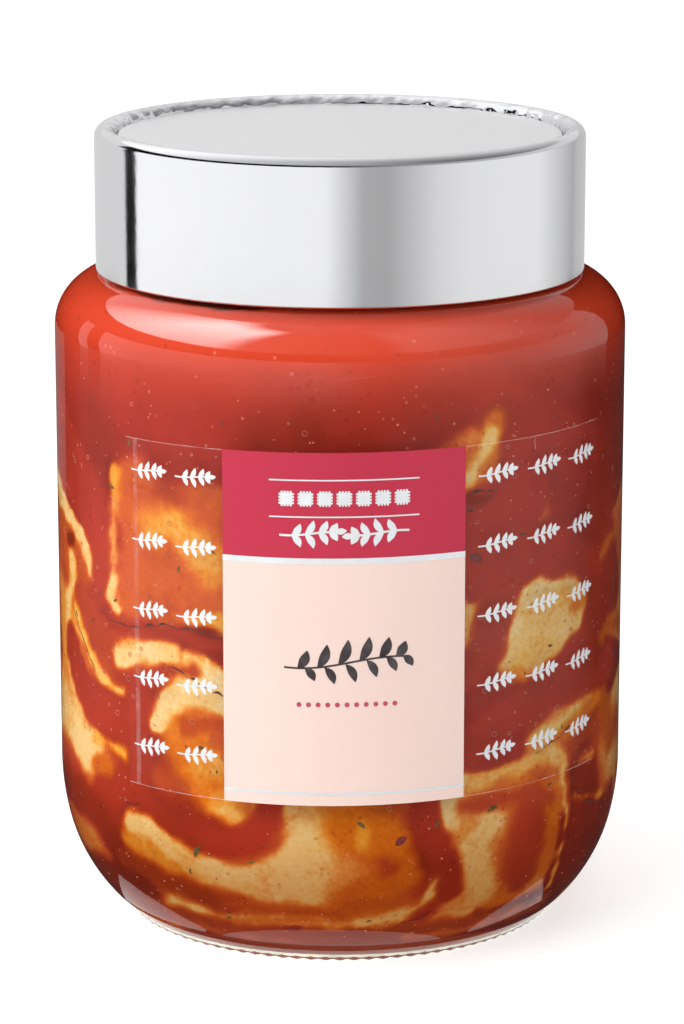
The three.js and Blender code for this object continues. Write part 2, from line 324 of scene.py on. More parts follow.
def clearGlass():
    glass = Finish("Clear jar glass")
    glass.set(Base_Color=linearColour(250, 254, 251), Roughness=0.0, IOR=1.5, Transmission_Weight=1.0)
    # Lamps shine straight through the wall, so what fills the jar is lit evenly
    through = glass.tree.nodes.new("ShaderNodeBsdfTransparent")
    through.inputs["Color"].default_value = linearColour(247, 250, 248)
    path = glass.tree.nodes.new("ShaderNodeLightPath")
    blend = glass.tree.nodes.new("ShaderNodeMixShader")
    glass.link(path.outputs["Is Shadow Ray"], blend.inputs["Fac"])
    glass.link(glass.shader.outputs["BSDF"], blend.inputs[1])
    glass.link(through.outputs["BSDF"], blend.inputs[2])
    glass.link(blend.outputs["Shader"], glass.output.inputs["Surface"])
    # moulded glass is very slightly wavy
    glass.bump(glass.noise(38, 1.0, 0.4, place=glass.stretched(1, 1, 0.5)), 0.12, 0.002)
    return glass.material


jarGlass = turnedObject("Jar.Glass", glassOutline(), jarForm["segments"], clearGlass(), knurled)
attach(jarGlass, "root")
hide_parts("jar_glass")


def paleGlow():
    glow = Finish("Light in the foot")
    tone = glow.mix(glow.noise(160, 2.0), linearColour(214, 222, 200), linearColour(240, 244, 232))
    glow.set(Base_Color=tone, Roughness=0.6, Emission_Color=tone)
    streaks = glow.noise(240, 3.0, place=glow.stretched(1, 1, 6))
    glow.set(Emission_Strength=glow.range(streaks, 0.35, 0.65, 0.1, 0.5))
    return glow.material


# painted light: a glowing ring stands in for the light that clear thick glass gathers just above the table,
# inside the ring that the jar stands on
footGlow = turnedObject("Jar.FootGlow", arc(36.9, 1.45, 0.9, 0, 2 * math.pi, 12, 0.6)[:-1], 192, paleGlow())
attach(footGlow, "root")
print("jar blown")


# The silver lid: a foil-covered skirt with a crinkled rolled rim, and a satin disc

lidForm = {
    "radius": 42.7, "bottom": 114.8, "top": 139.8, "wall": 1.1, "crestRadius": 40.8, "outerFall": 1.9,
    "innerRadius": 38.9, "innerFall": 1.9, "discTop": 138.3, "discThickness": 1.5, "gap": 0.3,
    "ledgeInner": 36.5, "segments": 480, "crinkle": 0.16,
}


def lidOutline():
    f = lidForm
    outerWidth, innerWidth = f["radius"] - f["crestRadius"], f["crestRadius"] - f["innerRadius"]
    filletStart = f["top"] - f["outerFall"]
    ledgeTop = f["discTop"] - f["discThickness"] - f["gap"]
    ledgeBottom = jarForm["mouthHeight"] + f["gap"]
    side = [(f["radius"], f["bottom"] + 0.2), (f["radius"], f["bottom"] + 0.26)]
    side += [(f["radius"], z) for z in np.linspace(f["bottom"] + 0.5, filletStart - 0.3, 14)]
    return (
        [(f["radius"] - f["wall"], f["bottom"] + 0.1), (f["radius"] - f["wall"] + 0.1, f["bottom"])]
        + [(f["radius"] - 0.15, f["bottom"]), (f["radius"] - 0.05, f["bottom"] + 0.08)]
        + side
        + arc(f["crestRadius"], filletStart, outerWidth, 0, math.pi / 2, 18, f["outerFall"])[:-1]
        + arc(f["crestRadius"], f["top"] - f["innerFall"], innerWidth, math.pi / 2, math.pi, 12, f["innerFall"])
        + [(f["innerRadius"], ledgeTop + 0.3), (f["innerRadius"] - 0.1, ledgeTop)]
        + [(f["ledgeInner"], ledgeTop), (f["ledgeInner"], ledgeBottom)]
        + [(f["radius"] - f["wall"], ledgeBottom)]
    )


def crinkled(radius, height, angle):
    # folds of the foil, strongest where it turns down to the disc
    f = lidForm
    onRim = np.clip((height - f["discTop"] + 1.2) / 1.0, 0, 1)
    inward = np.clip((f["crestRadius"] + 0.7 - radius) / 1.2, 0, 1) * onRim
    folds = np.zeros_like(radius)
    for i in range(radius.shape[0]):
        if inward[i, 0] > 0:
            for j in range(radius.shape[1]):
                x, y = math.sin(angle[i, j]), -math.cos(angle[i, j])
                at = Vector((x * 17, y * 17, height[i, j] * 0.5))
                folds[i, j] = noise.noise(at) + 0.7 * abs(noise.noise(at * 2.7))
    depth = f["crinkle"] * inward
    return radius + depth * (1.2 + 2.2 * folds), height - depth * (0.7 + folds)


def silverFoil():
    foil = Finish("Silver foil")
    tone = foil.noise(26, 2.0, place=foil.stretched(1, 1, 0.3))
    foil.set(Metallic=1.0, Base_Color=foil.mix(tone, linearColour(226, 227, 229), linearColour(238, 238, 239)))
    foil.set(Roughness=foil.range(foil.noise(60, 3.0), 0.3, 0.7, 0.07, 0.12))
    foil.bump(foil.noise(900, 2.0), 0.02, 0.0004)
    return foil.material


def satinSilver():
    satin = Finish("Satin silver")
    tone = satin.noise(14, 2.0)
    silvery = satin.mix(tone, linearColour(241, 241, 242), linearColour(245, 245, 245))
    satin.set(Metallic=1.0, Base_Color=silvery)
    satin.set(Roughness=satin.range(satin.noise(300, 2.0), 0.3, 0.7, 0.34, 0.42))
    satin.bump(satin.noise(35, 2.0), 0.05, 0.002)
    return satin.material


def discOutline():
    f = lidForm
    radius = f["innerRadius"] - f["gap"]
    low, high = f["discTop"] - f["discThickness"], f["discTop"]
    top = [(r, high - 0.12 * math.exp(-((r - 36.4) / 0.9) ** 2)) for r in np.linspace(radius - 0.3, 0, 30)]
    under = [(0, low), (radius - 0.2, low), (radius, low + 0.2)]
    return under + [(radius, high - 0.3), (radius - 0.1, high - 0.08)] + top


lidShell = turnedObject("Lid.Shell", lidOutline(), lidForm["segments"], silverFoil(), crinkled)
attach(lidShell, "root")
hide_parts("lid_shell")
lidDisc = turnedObject("Lid.Disc", discOutline(), 192, satinSilver())
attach(lidDisc, "root")
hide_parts("lid_disc")
print("lid pressed")


# The ravioli that lie against the glass. Each is square, with a crimped border round its filling.

raviolo = {
    "side": 30.0, "crimp": 4.2, "borderThickness": 1.8, "domeThickness": 6.4, "cornerPull": 0.07,
    "ridgePitch": 2.6, "ridgeDepth": 0.3, "crimpStart": 0.78, "edgeRounding": 0.9, "cells": 44,
}
innerRadius = jarForm["bodyRadius"] - jarForm["wall"]
heelLength = innerHeelSweep() * jarForm["innerHeelRadius"]


def upTheWall(height):
    # distance along the inside of the glass from the edge of its floor
    f = jarForm
    drop = np.clip((f["innerHeelStart"] - height) / f["innerHeelRadius"], -1, 1)
    low = (innerHeelSweep() - np.arcsin(drop)) * f["innerHeelRadius"]
    return np.where(height >= f["innerHeelStart"], heelLength + height - f["innerHeelStart"], low)


def wallPlace(distance, depth):
    # radius and height of a point at some depth behind the inside of the glass
    f = jarForm
    centre = innerRadius - f["innerHeelRadius"]
    turn = np.clip(innerHeelSweep() - distance / f["innerHeelRadius"], 0, innerHeelSweep())
    past = np.maximum(distance - heelLength, 0)
    before = np.maximum(-distance, 0)
    reach = f["innerHeelRadius"] - depth
    radius = centre + reach * np.cos(turn) - before
    height = f["innerHeelStart"] - reach * np.sin(turn) + past
    return radius, height


def wallRadius(distance):
    return wallPlace(distance, 0.0)[0]


# each by the angle and height of its middle, then its values in the order of ravioloTerms: cup brings its
# edges to the glass, tuck sets it back, the leans tip it, bulge brings its filling forward and sway bends
# its sides
ravioloTerms = ("at", "spin", "size", "tuck", "cup", "leanU", "leanV", "bulge", "sway")
frontRavioli = [dict(zip(ravioloTerms, row)) for row in (
    ((-37.5, 73), -2, 0.88, 0.95, 1, 0.035, 0.05, 0, 0.5),
    ((-24, 38.5), -20, 0.95, 0.55, 0.75, -0.01, -0.06, 0, 1.3),
    ((-50, 53), -9, 0.8, 0.75, 0.5, -0.04, -0.05, 0, 1.2),
    ((-68, 37), -22, 1, 0.7, 0.7, 0.02, 0.02, 0.1, 1.5),
    ((-73, 66), -30, 1, 0.6, 1.1, 0, -0.02, 0, 1.2),
    ((-33, 17.5), -14, 1, 0.45, 0.25, 0, 0.06, 0, 0.9),
    ((-4, 23), 16, 1, 0.65, 0.2, 0.075, 0, 0, 1.3),
    ((9, 16), 6, 1, 1.15, 0.75, 0, 0.05, 0, 1.2),
    ((36, 22), -2, 0.93, 0.95, 0.8, 0.03, 0, 0, 0.5),
    ((56, 38), 14, 0.9, 0.9, 0.7, 0, -0.05, 0, 1),
    ((49, 54.5), -3, 0.85, 0.45, 0.15, 0.02, -0.06, 0.05, 1),
    ((27.5, 82), 32, 0.85, 2.7, 0, -0.16, -0.05, 0, 0.8),
    ((75, 66), -20, 1, 1, 1, 0, 0, 0, 1),
    ((73, 27), 12, 1, 1.6, 0, -0.05, -0.08, 0.1, 1),
    ((-66, 14), 8, 1, 1.4, 0, -0.03, 0.05, 0.1, 1.3),
    ((-9, 68), 8, 1, 0.8, 0.8, 0, 0, 0, 1),
    ((14, 62), -18, 1, 0.6, 0, 0, 0, 0, 1),
    ((6, 44), 22, 1, 0.7, 0.8, 0, 0, 0, 1),
)]

# sauce squeezed between the pasta and the glass: angle, height, half sizes across and up, thickness, turn
# and bend
frontSmears = [
    (-34, 73, 8, 8, 0.5, 0, 0), (-41, 83, 10, 3, 2, -6, 0), (-29, 64, 5, 4, 1.2, 0, 0),
    (-42, 59.3, 15, 1.3, 5, -5, 0), (-58, 62, 4, 5, 3.5, 30, 0), (-61, 54, 3.6, 4.5, 2.5, 35, 0),
    (-44, 48.5, 9, 2.6, 3.4, -10, 0), (-73, 62, 9, 2.6, 2.2, -24, 0), (-50, 40, 9, 6, 6, -20, 0),
    (-22, 41, 7, 3.6, 1.5, -20, 0), (-31, 32.5, 7, 2.6, 2.4, -20, 0), (-60, 42, 6, 3.5, 2.2, -30, 0),
    (-72, 26, 10, 4.5, 4, -20, 0), (-26, 25.2, 9.5, 4.2, 5.5, -10, 0.012), (-45, 29, 7, 3, 5, -14, 0),
    (-26, 12.5, 7, 2.2, 1.1, -10, 0), (-56, 20, 5, 5, 4, 0, 0), (9, 27, 6, 5, 1.2, 0, 0),
    (15, 18, 5, 5, 1.3, 0, 0), (17.5, 25, 2.4, 8, 4.5, 6, 0), (20, 12, 2, 6, 3.5, -12, 0),
    (38, 31, 8, 2.2, 1.5, 4, 0), (42, 21, 3.6, 9, 2.2, -6, 0), (32, 44, 10, 6, 6, 0, 0),
    (62, 50, 5, 4, 3, 0, 0), (44, 47.5, 9, 1.8, 3.4, 5, 0), (62, 36, 9, 3, 1.6, 14, 0),
    (60, 28, 5, 6, 3.5, 0, 0), (64, 18, 6, 8, 3, 0, 0),
]

# how the sauce lies against the glass at the front, each band over the ones before it: half its width, the
# sauce's depth over the pasta, the width of its edge, how oily it is, and its line of (angle, height)
sauceBands = [
    # far left: a raviolo that curls round on itself
    (7, 7, 2.4, 0.15, [(-86, 88), (-76, 86), (-64, 78), (-57, 72)]),
    (5, 2.4, 2.4, 0.5, [(-84, 70), (-74, 68), (-64, 62)]),
    (1.9, 0.25, 1.6, 0.15, [(-82, 75), (-76, 75), (-70, 73), (-65, 70.3), (-60.5, 66)]),
    (1.9, 0.35, 2.4, 0.15, [(-71.5, 66), (-70.5, 63), (-73.5, 59), (-77, 55)]),
    (2.6, 1, 2.4, 0.6, [(-80, 56), (-79, 48), (-77, 41)]),
    (0.9, 6, 2.4, 1, [(-73, 69.3), (-70.5, 69.6)]),
    (2.6, 4.5, 2.4, 0.15, [(-62, 60), (-57, 63), (-57, 70)]),
    # upper left: a square one with only its left edge on the glass
    (5.5, 2, 5, 0.15, [(-46, 84), (-44, 72), (-46, 64), (-40, 62), (-28, 70), (-27, 80)]),
    (1.5, 0.75, 2.4, 1, [(-52.3, 84.8), (-52.4, 81)]),
    (1.3, 1, 2.4, 0.15, [(-52.3, 80), (-52.5, 72), (-52.8, 67)]),
    (1.4, 0.35, 1.4, 0.15, [(-53, 66), (-53.6, 62.2), (-51.5, 60.6)]),
    (3.4, 0.75, 5, 0.8, [(-40, 76.5), (-35, 77.5), (-30, 74.5), (-26, 71.5)]),
    (1.3, 0.8, 2.4, 1, [(-31, 61.8), (-23, 61.2)]),
    (1.4, 5, 2.4, 0.15, [(-60, 58.4), (-51, 57.6), (-42, 58.2), (-33, 58.6), (-24, 57.4)]),
    # under it: a curled edge, a pale fold and the sauce round them
    (2.8, 3.6, 2.4, 0.15, [(-66, 60), (-58, 56), (-54, 53)]),
    (1.2, 0.5, 1.8, 0.8, [(-69.5, 58), (-66, 54), (-62, 50.5), (-57, 47.3), (-50, 46)]),
    (2, 0.2, 1.8, 0.15, [(-51, 52.2), (-46, 53.4), (-41, 54.6), (-36.8, 55.2)]),
    (0.9, 3.6, 2.4, 0.15, [(-44, 49.8), (-38, 51.6), (-31, 52.8)]),
    (3.6, 5.5, 2.4, 0.15, [(-72, 50), (-67, 45), (-60, 41.5), (-52, 40.8), (-46, 42), (-44, 46)]),
    (3.4, 5, 2.4, 0.15, [(-45, 42), (-45, 34), (-50, 29), (-58, 27)]),
    # left of the label: an arched edge round an orange middle
    (5, 1.5, 4, 0.9, [(-34, 43), (-30, 37), (-26, 32)]),
    (1.3, 2.8, 2.4, 0.6, [(-33, 42.6), (-29, 44), (-24, 44)]),
    (2.1, 0.15, 1.6, 0.15, [(-22, 47.6), (-28, 48.6), (-34, 48.2), (-38, 46), (-39.6, 42.6)]),
    (2.6, 0.6, 4, 0.7, [(-24, 29.5), (-22, 28.6)]),
    (2, 0.8, 3, 0.7, [(-30, 36), (-25, 37)]),
    # lower left
    (3.6, 0.3, 2.6, 0.15, [(-79, 39), (-71, 35), (-66, 32.6), (-61.5, 34)]),
    (1.2, 0.7, 2.4, 1, [(-60, 35.8), (-55, 36.2), (-50, 35)]),
    (1.8, 2, 2.4, 0.8, [(-60, 31), (-55, 32)]),
    (3.4, 5, 2.4, 0.6, [(-80, 24), (-70, 23.6), (-60, 22.5), (-55, 17)]),
    (5, 5, 4, 1, [(-80, 9), (-52, 12)]),
    (1.3, 1.2, 3, 0.8, [(-76, 16), (-66, 16)]),
    # the pale crescent along the heel, with the sauce above and the oily brown below
    (1.9, 5.5, 2.4, 0.15, [(-44, 27.8), (-38, 25.2), (-31, 23.4), (-24, 23), (-18, 24.6), (-15, 28), (-14, 33)]),
    (2.6, 3.6, 3.5, 0.9, [(-54, 16), (-44, 14.6), (-34, 12.6), (-26, 11.6)]),
    (1.6, 2.4, 3.5, 1, [(-26, 12), (-14, 11.4), (0, 11.4)]),
    (3.2, 3.3, 3, 1, [(-60, 8), (-30, 6.8), (0, 6.5), (30, 7), (60, 8)]),
    (0.8, 2.2, 2.4, 0.9, [(-46, 7), (-30, 5.9), (-10, 5.6)]),
    (0.9, 1.9, 2.4, 1, [(18, 6.2), (34, 6.4), (50, 8)]),
    (0.9, 1.5, 2.4, 1, [(-26, 8.6), (-18, 9.4), (-6, 10)]),
    (1.6, 0.9, 3, 1, [(-51, 19.5), (-45, 19.5), (-38, 18.4)]),
    (2, 0.2, 2, 0.15, [(-48, 23.3), (-43, 23.2), (-38, 20.6), (-32, 18.6), (-25, 17.4), (-17, 17.4)]),
    (4.4, 0.3, 3.5, 0.15, [(-12, 18), (-8, 20.5), (-5, 24)]),
    # under the label: oily orange, a dark red spot and a pale edge low down
    (4.4, 1.75, 5, 1, [(2, 27), (9, 25), (12, 18), (5, 14)]),
    (1.3, 3.2, 3.5, 0.4, [(9.6, 20.6), (10.4, 19.4)]),
    (0.9, 0.7, 2.4, 1, [(4.5, 28), (5, 24)]),
    (1.2, 0.25, 2, 0.15, [(5, 9.5), (10, 10), (14, 10.6), (18, 12), (20.8, 14.5), (21.5, 16.4)]),
    (2, 5.5, 2, 0.15, [(17, 32), (18.4, 26), (21, 22), (24, 18), (25, 14.4)]),
    # lower right: a square one with its edges on the glass
    (3, 1.6, 3.5, 0.7, [(30, 31), (40, 31), (48, 26), (49, 16), (40, 11)]),
    (1.2, 0.2, 2.4, 0.15, [(22.4, 30), (22.6, 27)]),
    (2.9, 0.35, 3, 0.15, [(32, 25.6), (29, 22), (31, 17), (34, 13)]),
    (2.9, 3.8, 3, 0.15, [(42.5, 26), (43.5, 20), (44, 14.5)]),
    (1.2, 3, 2.4, 0.15, [(26, 29.4), (34, 29.8), (44, 29.5), (49, 27.4)]),
    (1.4, 0.6, 2, 0.8, [(28, 33.4), (36, 34.6), (44, 35.4), (50, 35.6)]),
    (1.3, 0.3, 1.8, 0.15, [(49, 35.2), (52.4, 33.6), (53.6, 29), (54.2, 24)]),
    (0.9, 0.6, 1.6, 0.6, [(54.4, 23), (55.2, 16), (57, 11)]),
    (4.6, 6, 3, 0.5, [(60, 30), (62, 20), (66, 12), (74, 20), (74, 12)]),
    (0.6, 0.8, 2.4, 0.9, [(57, 26), (62, 25), (67, 24), (74, 23.4)]),
    (0.9, 0.8, 2.4, 0.5, [(58.5, 32), (64, 32.6)]),
    (3.2, 2.3, 4, 0.9, [(70, 41), (74, 34), (80, 34)]),
    # right of the label: sauce, a wedge, the palest one and a streak
    (3.6, 5.5, 2.4, 0.15, [(27, 40), (36, 44), (48, 47), (60, 47.5), (72, 47)]),
    (2.2, 3.4, 2.4, 0.6, [(64, 40), (60, 38)]),
    (1.3, 0.3, 2, 0.7, [(42.5, 38.8), (47, 39.6), (52, 41), (58, 41.6)]),
    (1.3, 1.5, 3, 1, [(54, 38.6), (60, 40), (66, 42)]),
    (4.4, 6, 2.4, 0.15, [(28, 70), (45, 72), (60, 70), (66, 60), (62, 53), (50, 48.5)]),
    (3.6, 4.5, 2.4, 0.15, [(29, 54), (32, 60), (34, 66)]),
    (2.1, 0.5, 3, 0.9, [(41.5, 62), (50, 62), (59, 61.3)]),
    (2.8, 0.3, 3, 0.6, [(40.5, 57.6), (47, 58), (56, 58.4)]),
    (1.9, 0.45, 2.6, 0.8, [(39.4, 54), (44, 54), (50, 54.6)]),
    (0.8, 0, 1.4, 0.15, [(40.5, 63.4), (43, 63.6)]),
    (1.2, 1.3, 2.4, 1, [(56, 60.4), (61, 60.6), (65, 61)]),
    (0.7, 1, 2.4, 1, [(38.2, 51.6), (40, 50.6)]),
    (5, 7, 3, 0.15, [(26, 79), (40, 82), (40, 92), (34, 98), (52, 90)]),
    (2.6, 1.7, 3.5, 1, [(33, 96), (31, 91.5), (27.5, 87), (24, 85)]),
    (1.3, 0.3, 1.8, 0.8, [(31.6, 94), (30, 90.5), (27, 87), (24, 85.6)]),
    (0.7, 7, 2.4, 1, [(26.5, 82.6), (31.5, 82.8)]),
    (6, 7, 2.4, 0.5, [(78, 82), (70, 80), (64, 76)]),
    (4.6, 5, 2.4, 0.6, [(66, 76), (76, 60), (66, 60), (64, 52)]),
    (1.5, 1.8, 3.5, 0.6, [(67, 67.4), (72, 69.4), (82, 70)]),
    (1.6, 2.2, 3.5, 1, [(68, 52.5), (73, 54), (82, 52)]),
]


def seededShares(seed):
    # a small repeatable source of numbers from 0 to 1
    state = seed
    while True:
        state = (state * 1664525 + 1013904223) % 4294967296
        yield state / 4294967296


def backRavioli():
    # three rows round the back, each half a step on from the one below, with a little disorder
    start, end, count = 98, 262, 5
    step = (end - start) / (count - 1)
    share = seededShares(11)
    made = []
    for row, height in enumerate((17, 42, 67)):
        for i in range(count):
            shift = 0.5 * step * (row % 2) * (i + 1 < count)
            angle = start + i * step + shift + 6 * (next(share) - 0.5)
            made.append(dict(zip(ravioloTerms, (
                (angle, height + 5 * (next(share) - 0.5)), 50 * (next(share) - 0.5), 1, 0.2 + 1.2 * next(share),
                1.8 * next(share), 0.12 * (next(share) - 0.5), 0.12 * (next(share) - 0.5), 0.05, 1.0))))
    return made


def backSmears():
    made = []
    for _ in range(34):
        jitter = randomSource.uniform(-1, 1, 6)
        made.append((180 + 98 * jitter[0], 44 + 38 * jitter[1], 6 + 4 * jitter[2], 3.4 + 1.4 * jitter[3],
                     2.6 + 1.8 * jitter[4], 40 * jitter[5], 0))
    return made


allRavioli = frontRavioli + backRavioli()
allSmears = frontSmears + backSmears()


def sway(along, phase, amount):
    # how far an edge wanders from straight
    return amount * (np.sin(along * 0.18 + phase) + 0.4 * np.sin(along * 0.43 + 2 * phase))


def outerDepth(one, x, y, u, v):
    # how deep behind the glass the face towards it lies, and how thick the raviolo is there
    f = raviolo
    flat = 1 - 2 * f["crimp"] / f["side"]
    across = np.maximum(0, 1 - (u / flat) ** 2)
    along = np.maximum(0, 1 - (v / flat) ** 2)
    dome = f["domeThickness"] * np.sqrt(across * along)
    sunk = one["tuck"] + one["leanU"] * x + one["leanV"] * y
    sunk = sunk - one["cup"] * (u * u + v * v - 0.7) - one["bulge"] * dome
    edge = np.maximum(np.abs(u), np.abs(v))
    run = np.where(np.abs(u) > np.abs(v), y, x)
    border = np.clip((edge - f["crimpStart"]) / 0.06, 0, 1)
    ridges = f["ridgeDepth"] * border * (0.5 + 0.5 * np.sin(run * 2 * math.pi / f["ridgePitch"]))
    rounding = f["edgeRounding"] * np.clip((edge - 0.94) / 0.06, 0, 1) ** 2
    return np.maximum(0, sunk) + ridges + rounding, f["borderThickness"] + dome - ridges - rounding


def offsetsFrom(place, turnDegrees, angle, distance):
    # how far a place on the wall lies from another, across and along after a turn
    turn = math.radians(turnDegrees)
    offset = (angle - math.radians(place[0]) + math.pi) % (2 * math.pi) - math.pi
    across = offset * np.maximum(wallRadius(distance), 30)
    along = distance - upTheWall(place[1])
    return across * math.cos(turn) + along * math.sin(turn), -across * math.sin(turn) + along * math.cos(turn)


def overWall(one, angle, distance):
    # the same, for any place on the wall: depth, thickness and whether the raviolo is there at all
    f = raviolo
    phase, amount = one["at"][0], one["sway"]
    x, y = offsetsFrom(one["at"], one["spin"], angle, distance)
    y = y - sway(x, 1.7 * phase, amount)
    x = x - sway(y, phase, amount)
    half = f["side"] / 2 * one["size"]
    u, v = x / half, y / half
    for _ in range(4):
        u = x / (half * (1 - f["cornerPull"] * np.clip(v, -1.2, 1.2) ** 2))
        v = y / (half * (1 - f["cornerPull"] * np.clip(u, -1.2, 1.2) ** 2))
    inside = (np.abs(u) <= 1) & (np.abs(v) <= 1)
    depth, thickness = outerDepth(one, x, y, np.clip(u, -1, 1), np.clip(v, -1, 1))
    return depth, thickness, inside


def smearDepth(angle, distance):
    # sauce in front of the pasta, added up over all the smears
    total = np.zeros(np.shape(angle))
    for place, height, halfAcross, halfUp, thick, turn, bend in allSmears:
        x, y = offsetsFrom((place, height), turn, angle, distance)
        y = y - bend * x * x
        reach = (x / halfAcross) ** 2 + (y / halfUp) ** 2
        total += thick * np.exp(-0.7 * np.minimum(reach, 9) ** 2)
    return total


def alongLine(line, angle, distance):
    # how far each place on the wall lies from a line on it, in millimetres
    nearest = np.full(angle.shape, 1e3)
    ends = [(math.radians(a), float(upTheWall(h))) for a, h in line]
    radius = np.maximum(wallRadius(distance), 30)
    for (startAngle, startUp), (endAngle, endUp) in zip(ends[:-1], ends[1:]):
        x, y = (angle - startAngle) * radius, distance - startUp
        acrossStep, upStep = (endAngle - startAngle) * radius, endUp - startUp
        share = np.clip((x * acrossStep + y * upStep) / (acrossStep ** 2 + upStep ** 2), 0, 1)
        nearest = np.minimum(nearest, np.hypot(x - share * acrossStep, y - share * upStep))
    return nearest


def laidBands(depth, angle, distance):
    # the bands in their order, each with an uneven edge, and how oily the sauce is
    turned = (angle + math.pi) % (2 * math.pi) - math.pi
    x = turned * innerRadius
    waves = 0.55 * np.sin(0.7 * x + 0.4 * distance) + 0.4 * np.sin(1.3 * distance - 0.8 * x)
    waves = waves + 0.12 * np.sin(2.9 * x + 2.3)
    depth, amber = depth.copy(), np.full(depth.shape, 0.3)
    front = np.abs(turned) < math.radians(92)
    turned, distance, waves = turned[front], distance[front], waves[front]
    for half, sauce, soft, oil, line in sauceBands:
        reach = alongLine(line, turned, distance) + 0.6 * waves
        share = np.clip((half + soft / 2 - reach) / soft, 0, 1)
        share = share * share * (3 - 2 * share)
        depth[front] += (sauce - depth[front]) * share
        amber[front] += (oil - amber[front]) * share
    return depth, amber


def pushedBehind(order, angle, distance, depth):
    # a raviolo lies behind those that come before it
    for earlier in allRavioli[:order]:
        gap = abs((allRavioli[order]["at"][0] - earlier["at"][0] + 180) % 360 - 180)
        if gap < 62 and abs(allRavioli[order]["at"][1] - earlier["at"][1]) < 46:
            front, thickness, inside = overWall(earlier, angle, distance)
            depth = np.where(inside, np.maximum(depth, front + thickness + 0.15), depth)
    return depth


def onTheWall(one, u, v):
    # angle and distance up the wall of a raviolo's own place u, v, with the place in millimetres
    f = raviolo
    half = f["side"] / 2 * one["size"]
    x = half * u * (1 - f["cornerPull"] * v * v)
    y = half * v * (1 - f["cornerPull"] * u * u)
    phase, turn, amount = one["at"][0], math.radians(one["spin"]), one["sway"]
    xSwayed = x + sway(y, phase, amount)
    ySwayed = y + sway(xSwayed, 1.7 * phase, amount)
    across = xSwayed * math.cos(turn) - ySwayed * math.sin(turn)
    along = xSwayed * math.sin(turn) + ySwayed * math.cos(turn)
    distance = upTheWall(one["at"][1]) + along
    return math.radians(phase) + across / np.maximum(wallRadius(distance), 30), distance, x, y


def ravioloPoints(order):
    one = allRavioli[order]
    count = raviolo["cells"] + 1
    v, u = np.meshgrid(np.linspace(-1, 1, count), np.linspace(-1, 1, count), indexing="ij")
    angle, distance, x, y = onTheWall(one, u, v)
    depth, thickness = outerDepth(one, x, y, u, v)
    depth = pushedBehind(order, angle, distance, depth) + smearDepth(angle, distance)
    depth, amber = laidBands(depth, angle, distance)
    sheets = []
    for level in (depth - 0.16, depth + thickness):
        radius, height = wallPlace(distance, level)
        sheets.append(roundTheJar(radius, angle, height).reshape(-1, 3))
    depths = np.concatenate([depth.ravel(), (depth + thickness).ravel()])
    return np.vstack(sheets), depths, np.tile(amber.ravel(), 2)


sauceLook = {
    # sauce over pasta in millimetres, and the colour seen through the glass, for tomato and for oil
    "tomato": [
        (0.0, (255, 234, 186)), (0.4, (252, 212, 142)), (0.9, (242, 162, 86)), (1.6, (222, 106, 54)),
        (2.6, (202, 78, 46)), (4.5, (190, 60, 40)), (9.0, (182, 52, 37)),
    ],
    "oil": [
        (0.0, (255, 232, 168)), (0.4, (250, 204, 110)), (0.9, (244, 164, 50)), (1.6, (230, 122, 20)),
        (2.6, (196, 82, 10)), (4.5, (146, 46, 8)), (9.0, (108, 28, 8)),
    ],
    "deepest": 9.0, "broad": 1.6, "middle": 1.3, "fine": 1.0, "start": 0.5,
}


def contents(name):
    look = sauceLook
    fill = Finish(name)
    broad = fill.noise(90, 3.0, 0.55, 0.6)
    middle = fill.noise(260, 4.0, 0.6, 0.4)
    fine = fill.noise(1100, 3.0, 0.6)
    smear = fill.sums("MULTIPLY", fill.sums("SUBTRACT", broad, look["start"]), look["broad"])
    smear = fill.sums("ADD", smear, fill.sums("MULTIPLY", fill.sums("SUBTRACT", middle, 0.5), look["middle"]))
    smear = fill.sums("MAXIMUM", smear, 0.0)
    total = fill.sums("ADD", fill.value("sauceDepth"), smear)
    total = fill.sums("ADD", total, fill.sums("MULTIPLY", fill.sums("SUBTRACT", fine, 0.5), look["fine"]))
    share = fill.sums("SQRT", fill.sums("DIVIDE", total, look["deepest"], clamp=True))
    tomato, oil = (fill.ramp(share, [(math.sqrt(d / look["deepest"]), linearColour(*c)) for d, c in look[kind]])
                   for kind in ("tomato", "oil"))
    # slow drifts between redder and oilier sauce
    drift = fill.range(fill.noise(45, 3.0), 0.3, 0.7, -0.35, 0.35)
    colour = fill.mix(fill.sums("ADD", fill.value("amber"), drift, clamp=True), tomato, oil)
    # no ravioli lie at the top, and there the sauce is mixed to a brighter red: painted light where the shoulder
    # curves up towards the light above
    up = fill.along()["Z"]
    high = fill.range(up, 0.094, 0.111, 0.0, 0.75, smooth=True)
    colour = fill.mix(high, colour, linearColour(226, 74, 42))
    # darker and browner low down: partly the tint of the thick glass at the heel, partly painted shade where the
    # heel faces away from the light
    low = fill.range(up, 0.012, 0.034, 0.75, 0.0, smooth=True)
    colour = fill.mix(low, colour, fill.mix(1.0, colour, linearColour(206, 160, 96), "MULTIPLY"))
    # dark crumbs of herb, brown specks on the pale pasta and tiny pale bubbles
    patches = fill.range(fill.noise(160, 2.0), 0.56, 0.62)
    dark = fill.sums("MULTIPLY", fill.sums("LESS_THAN", fill.spots(310), 0.1), patches)
    colour = fill.mix(fill.sums("MULTIPLY", dark, 0.55), colour, linearColour(110, 40, 18))
    specks = fill.sums("LESS_THAN", fill.spots(620), fill.range(fill.noise(200, 2.0), 0.4, 0.7, 0.0, 0.3))
    browned = fill.mix(1.0, colour, linearColour(206, 134, 70), "MULTIPLY")
    colour = fill.mix(fill.sums("MULTIPLY", specks, 0.4), colour, browned)
    patches = fill.range(fill.noise(120, 2.0), 0.5, 0.6)
    pale = fill.sums("MULTIPLY", fill.sums("LESS_THAN", fill.spots(430), 0.12), patches)
    colour = fill.mix(fill.sums("MULTIPLY", pale, 0.3), colour, linearColour(240, 170, 150))
    fill.set(Base_Color=colour, Roughness=0.45, Specular_IOR_Level=0.04)
    fill.bump(middle, 0.06, 0.001)
    return fill.material


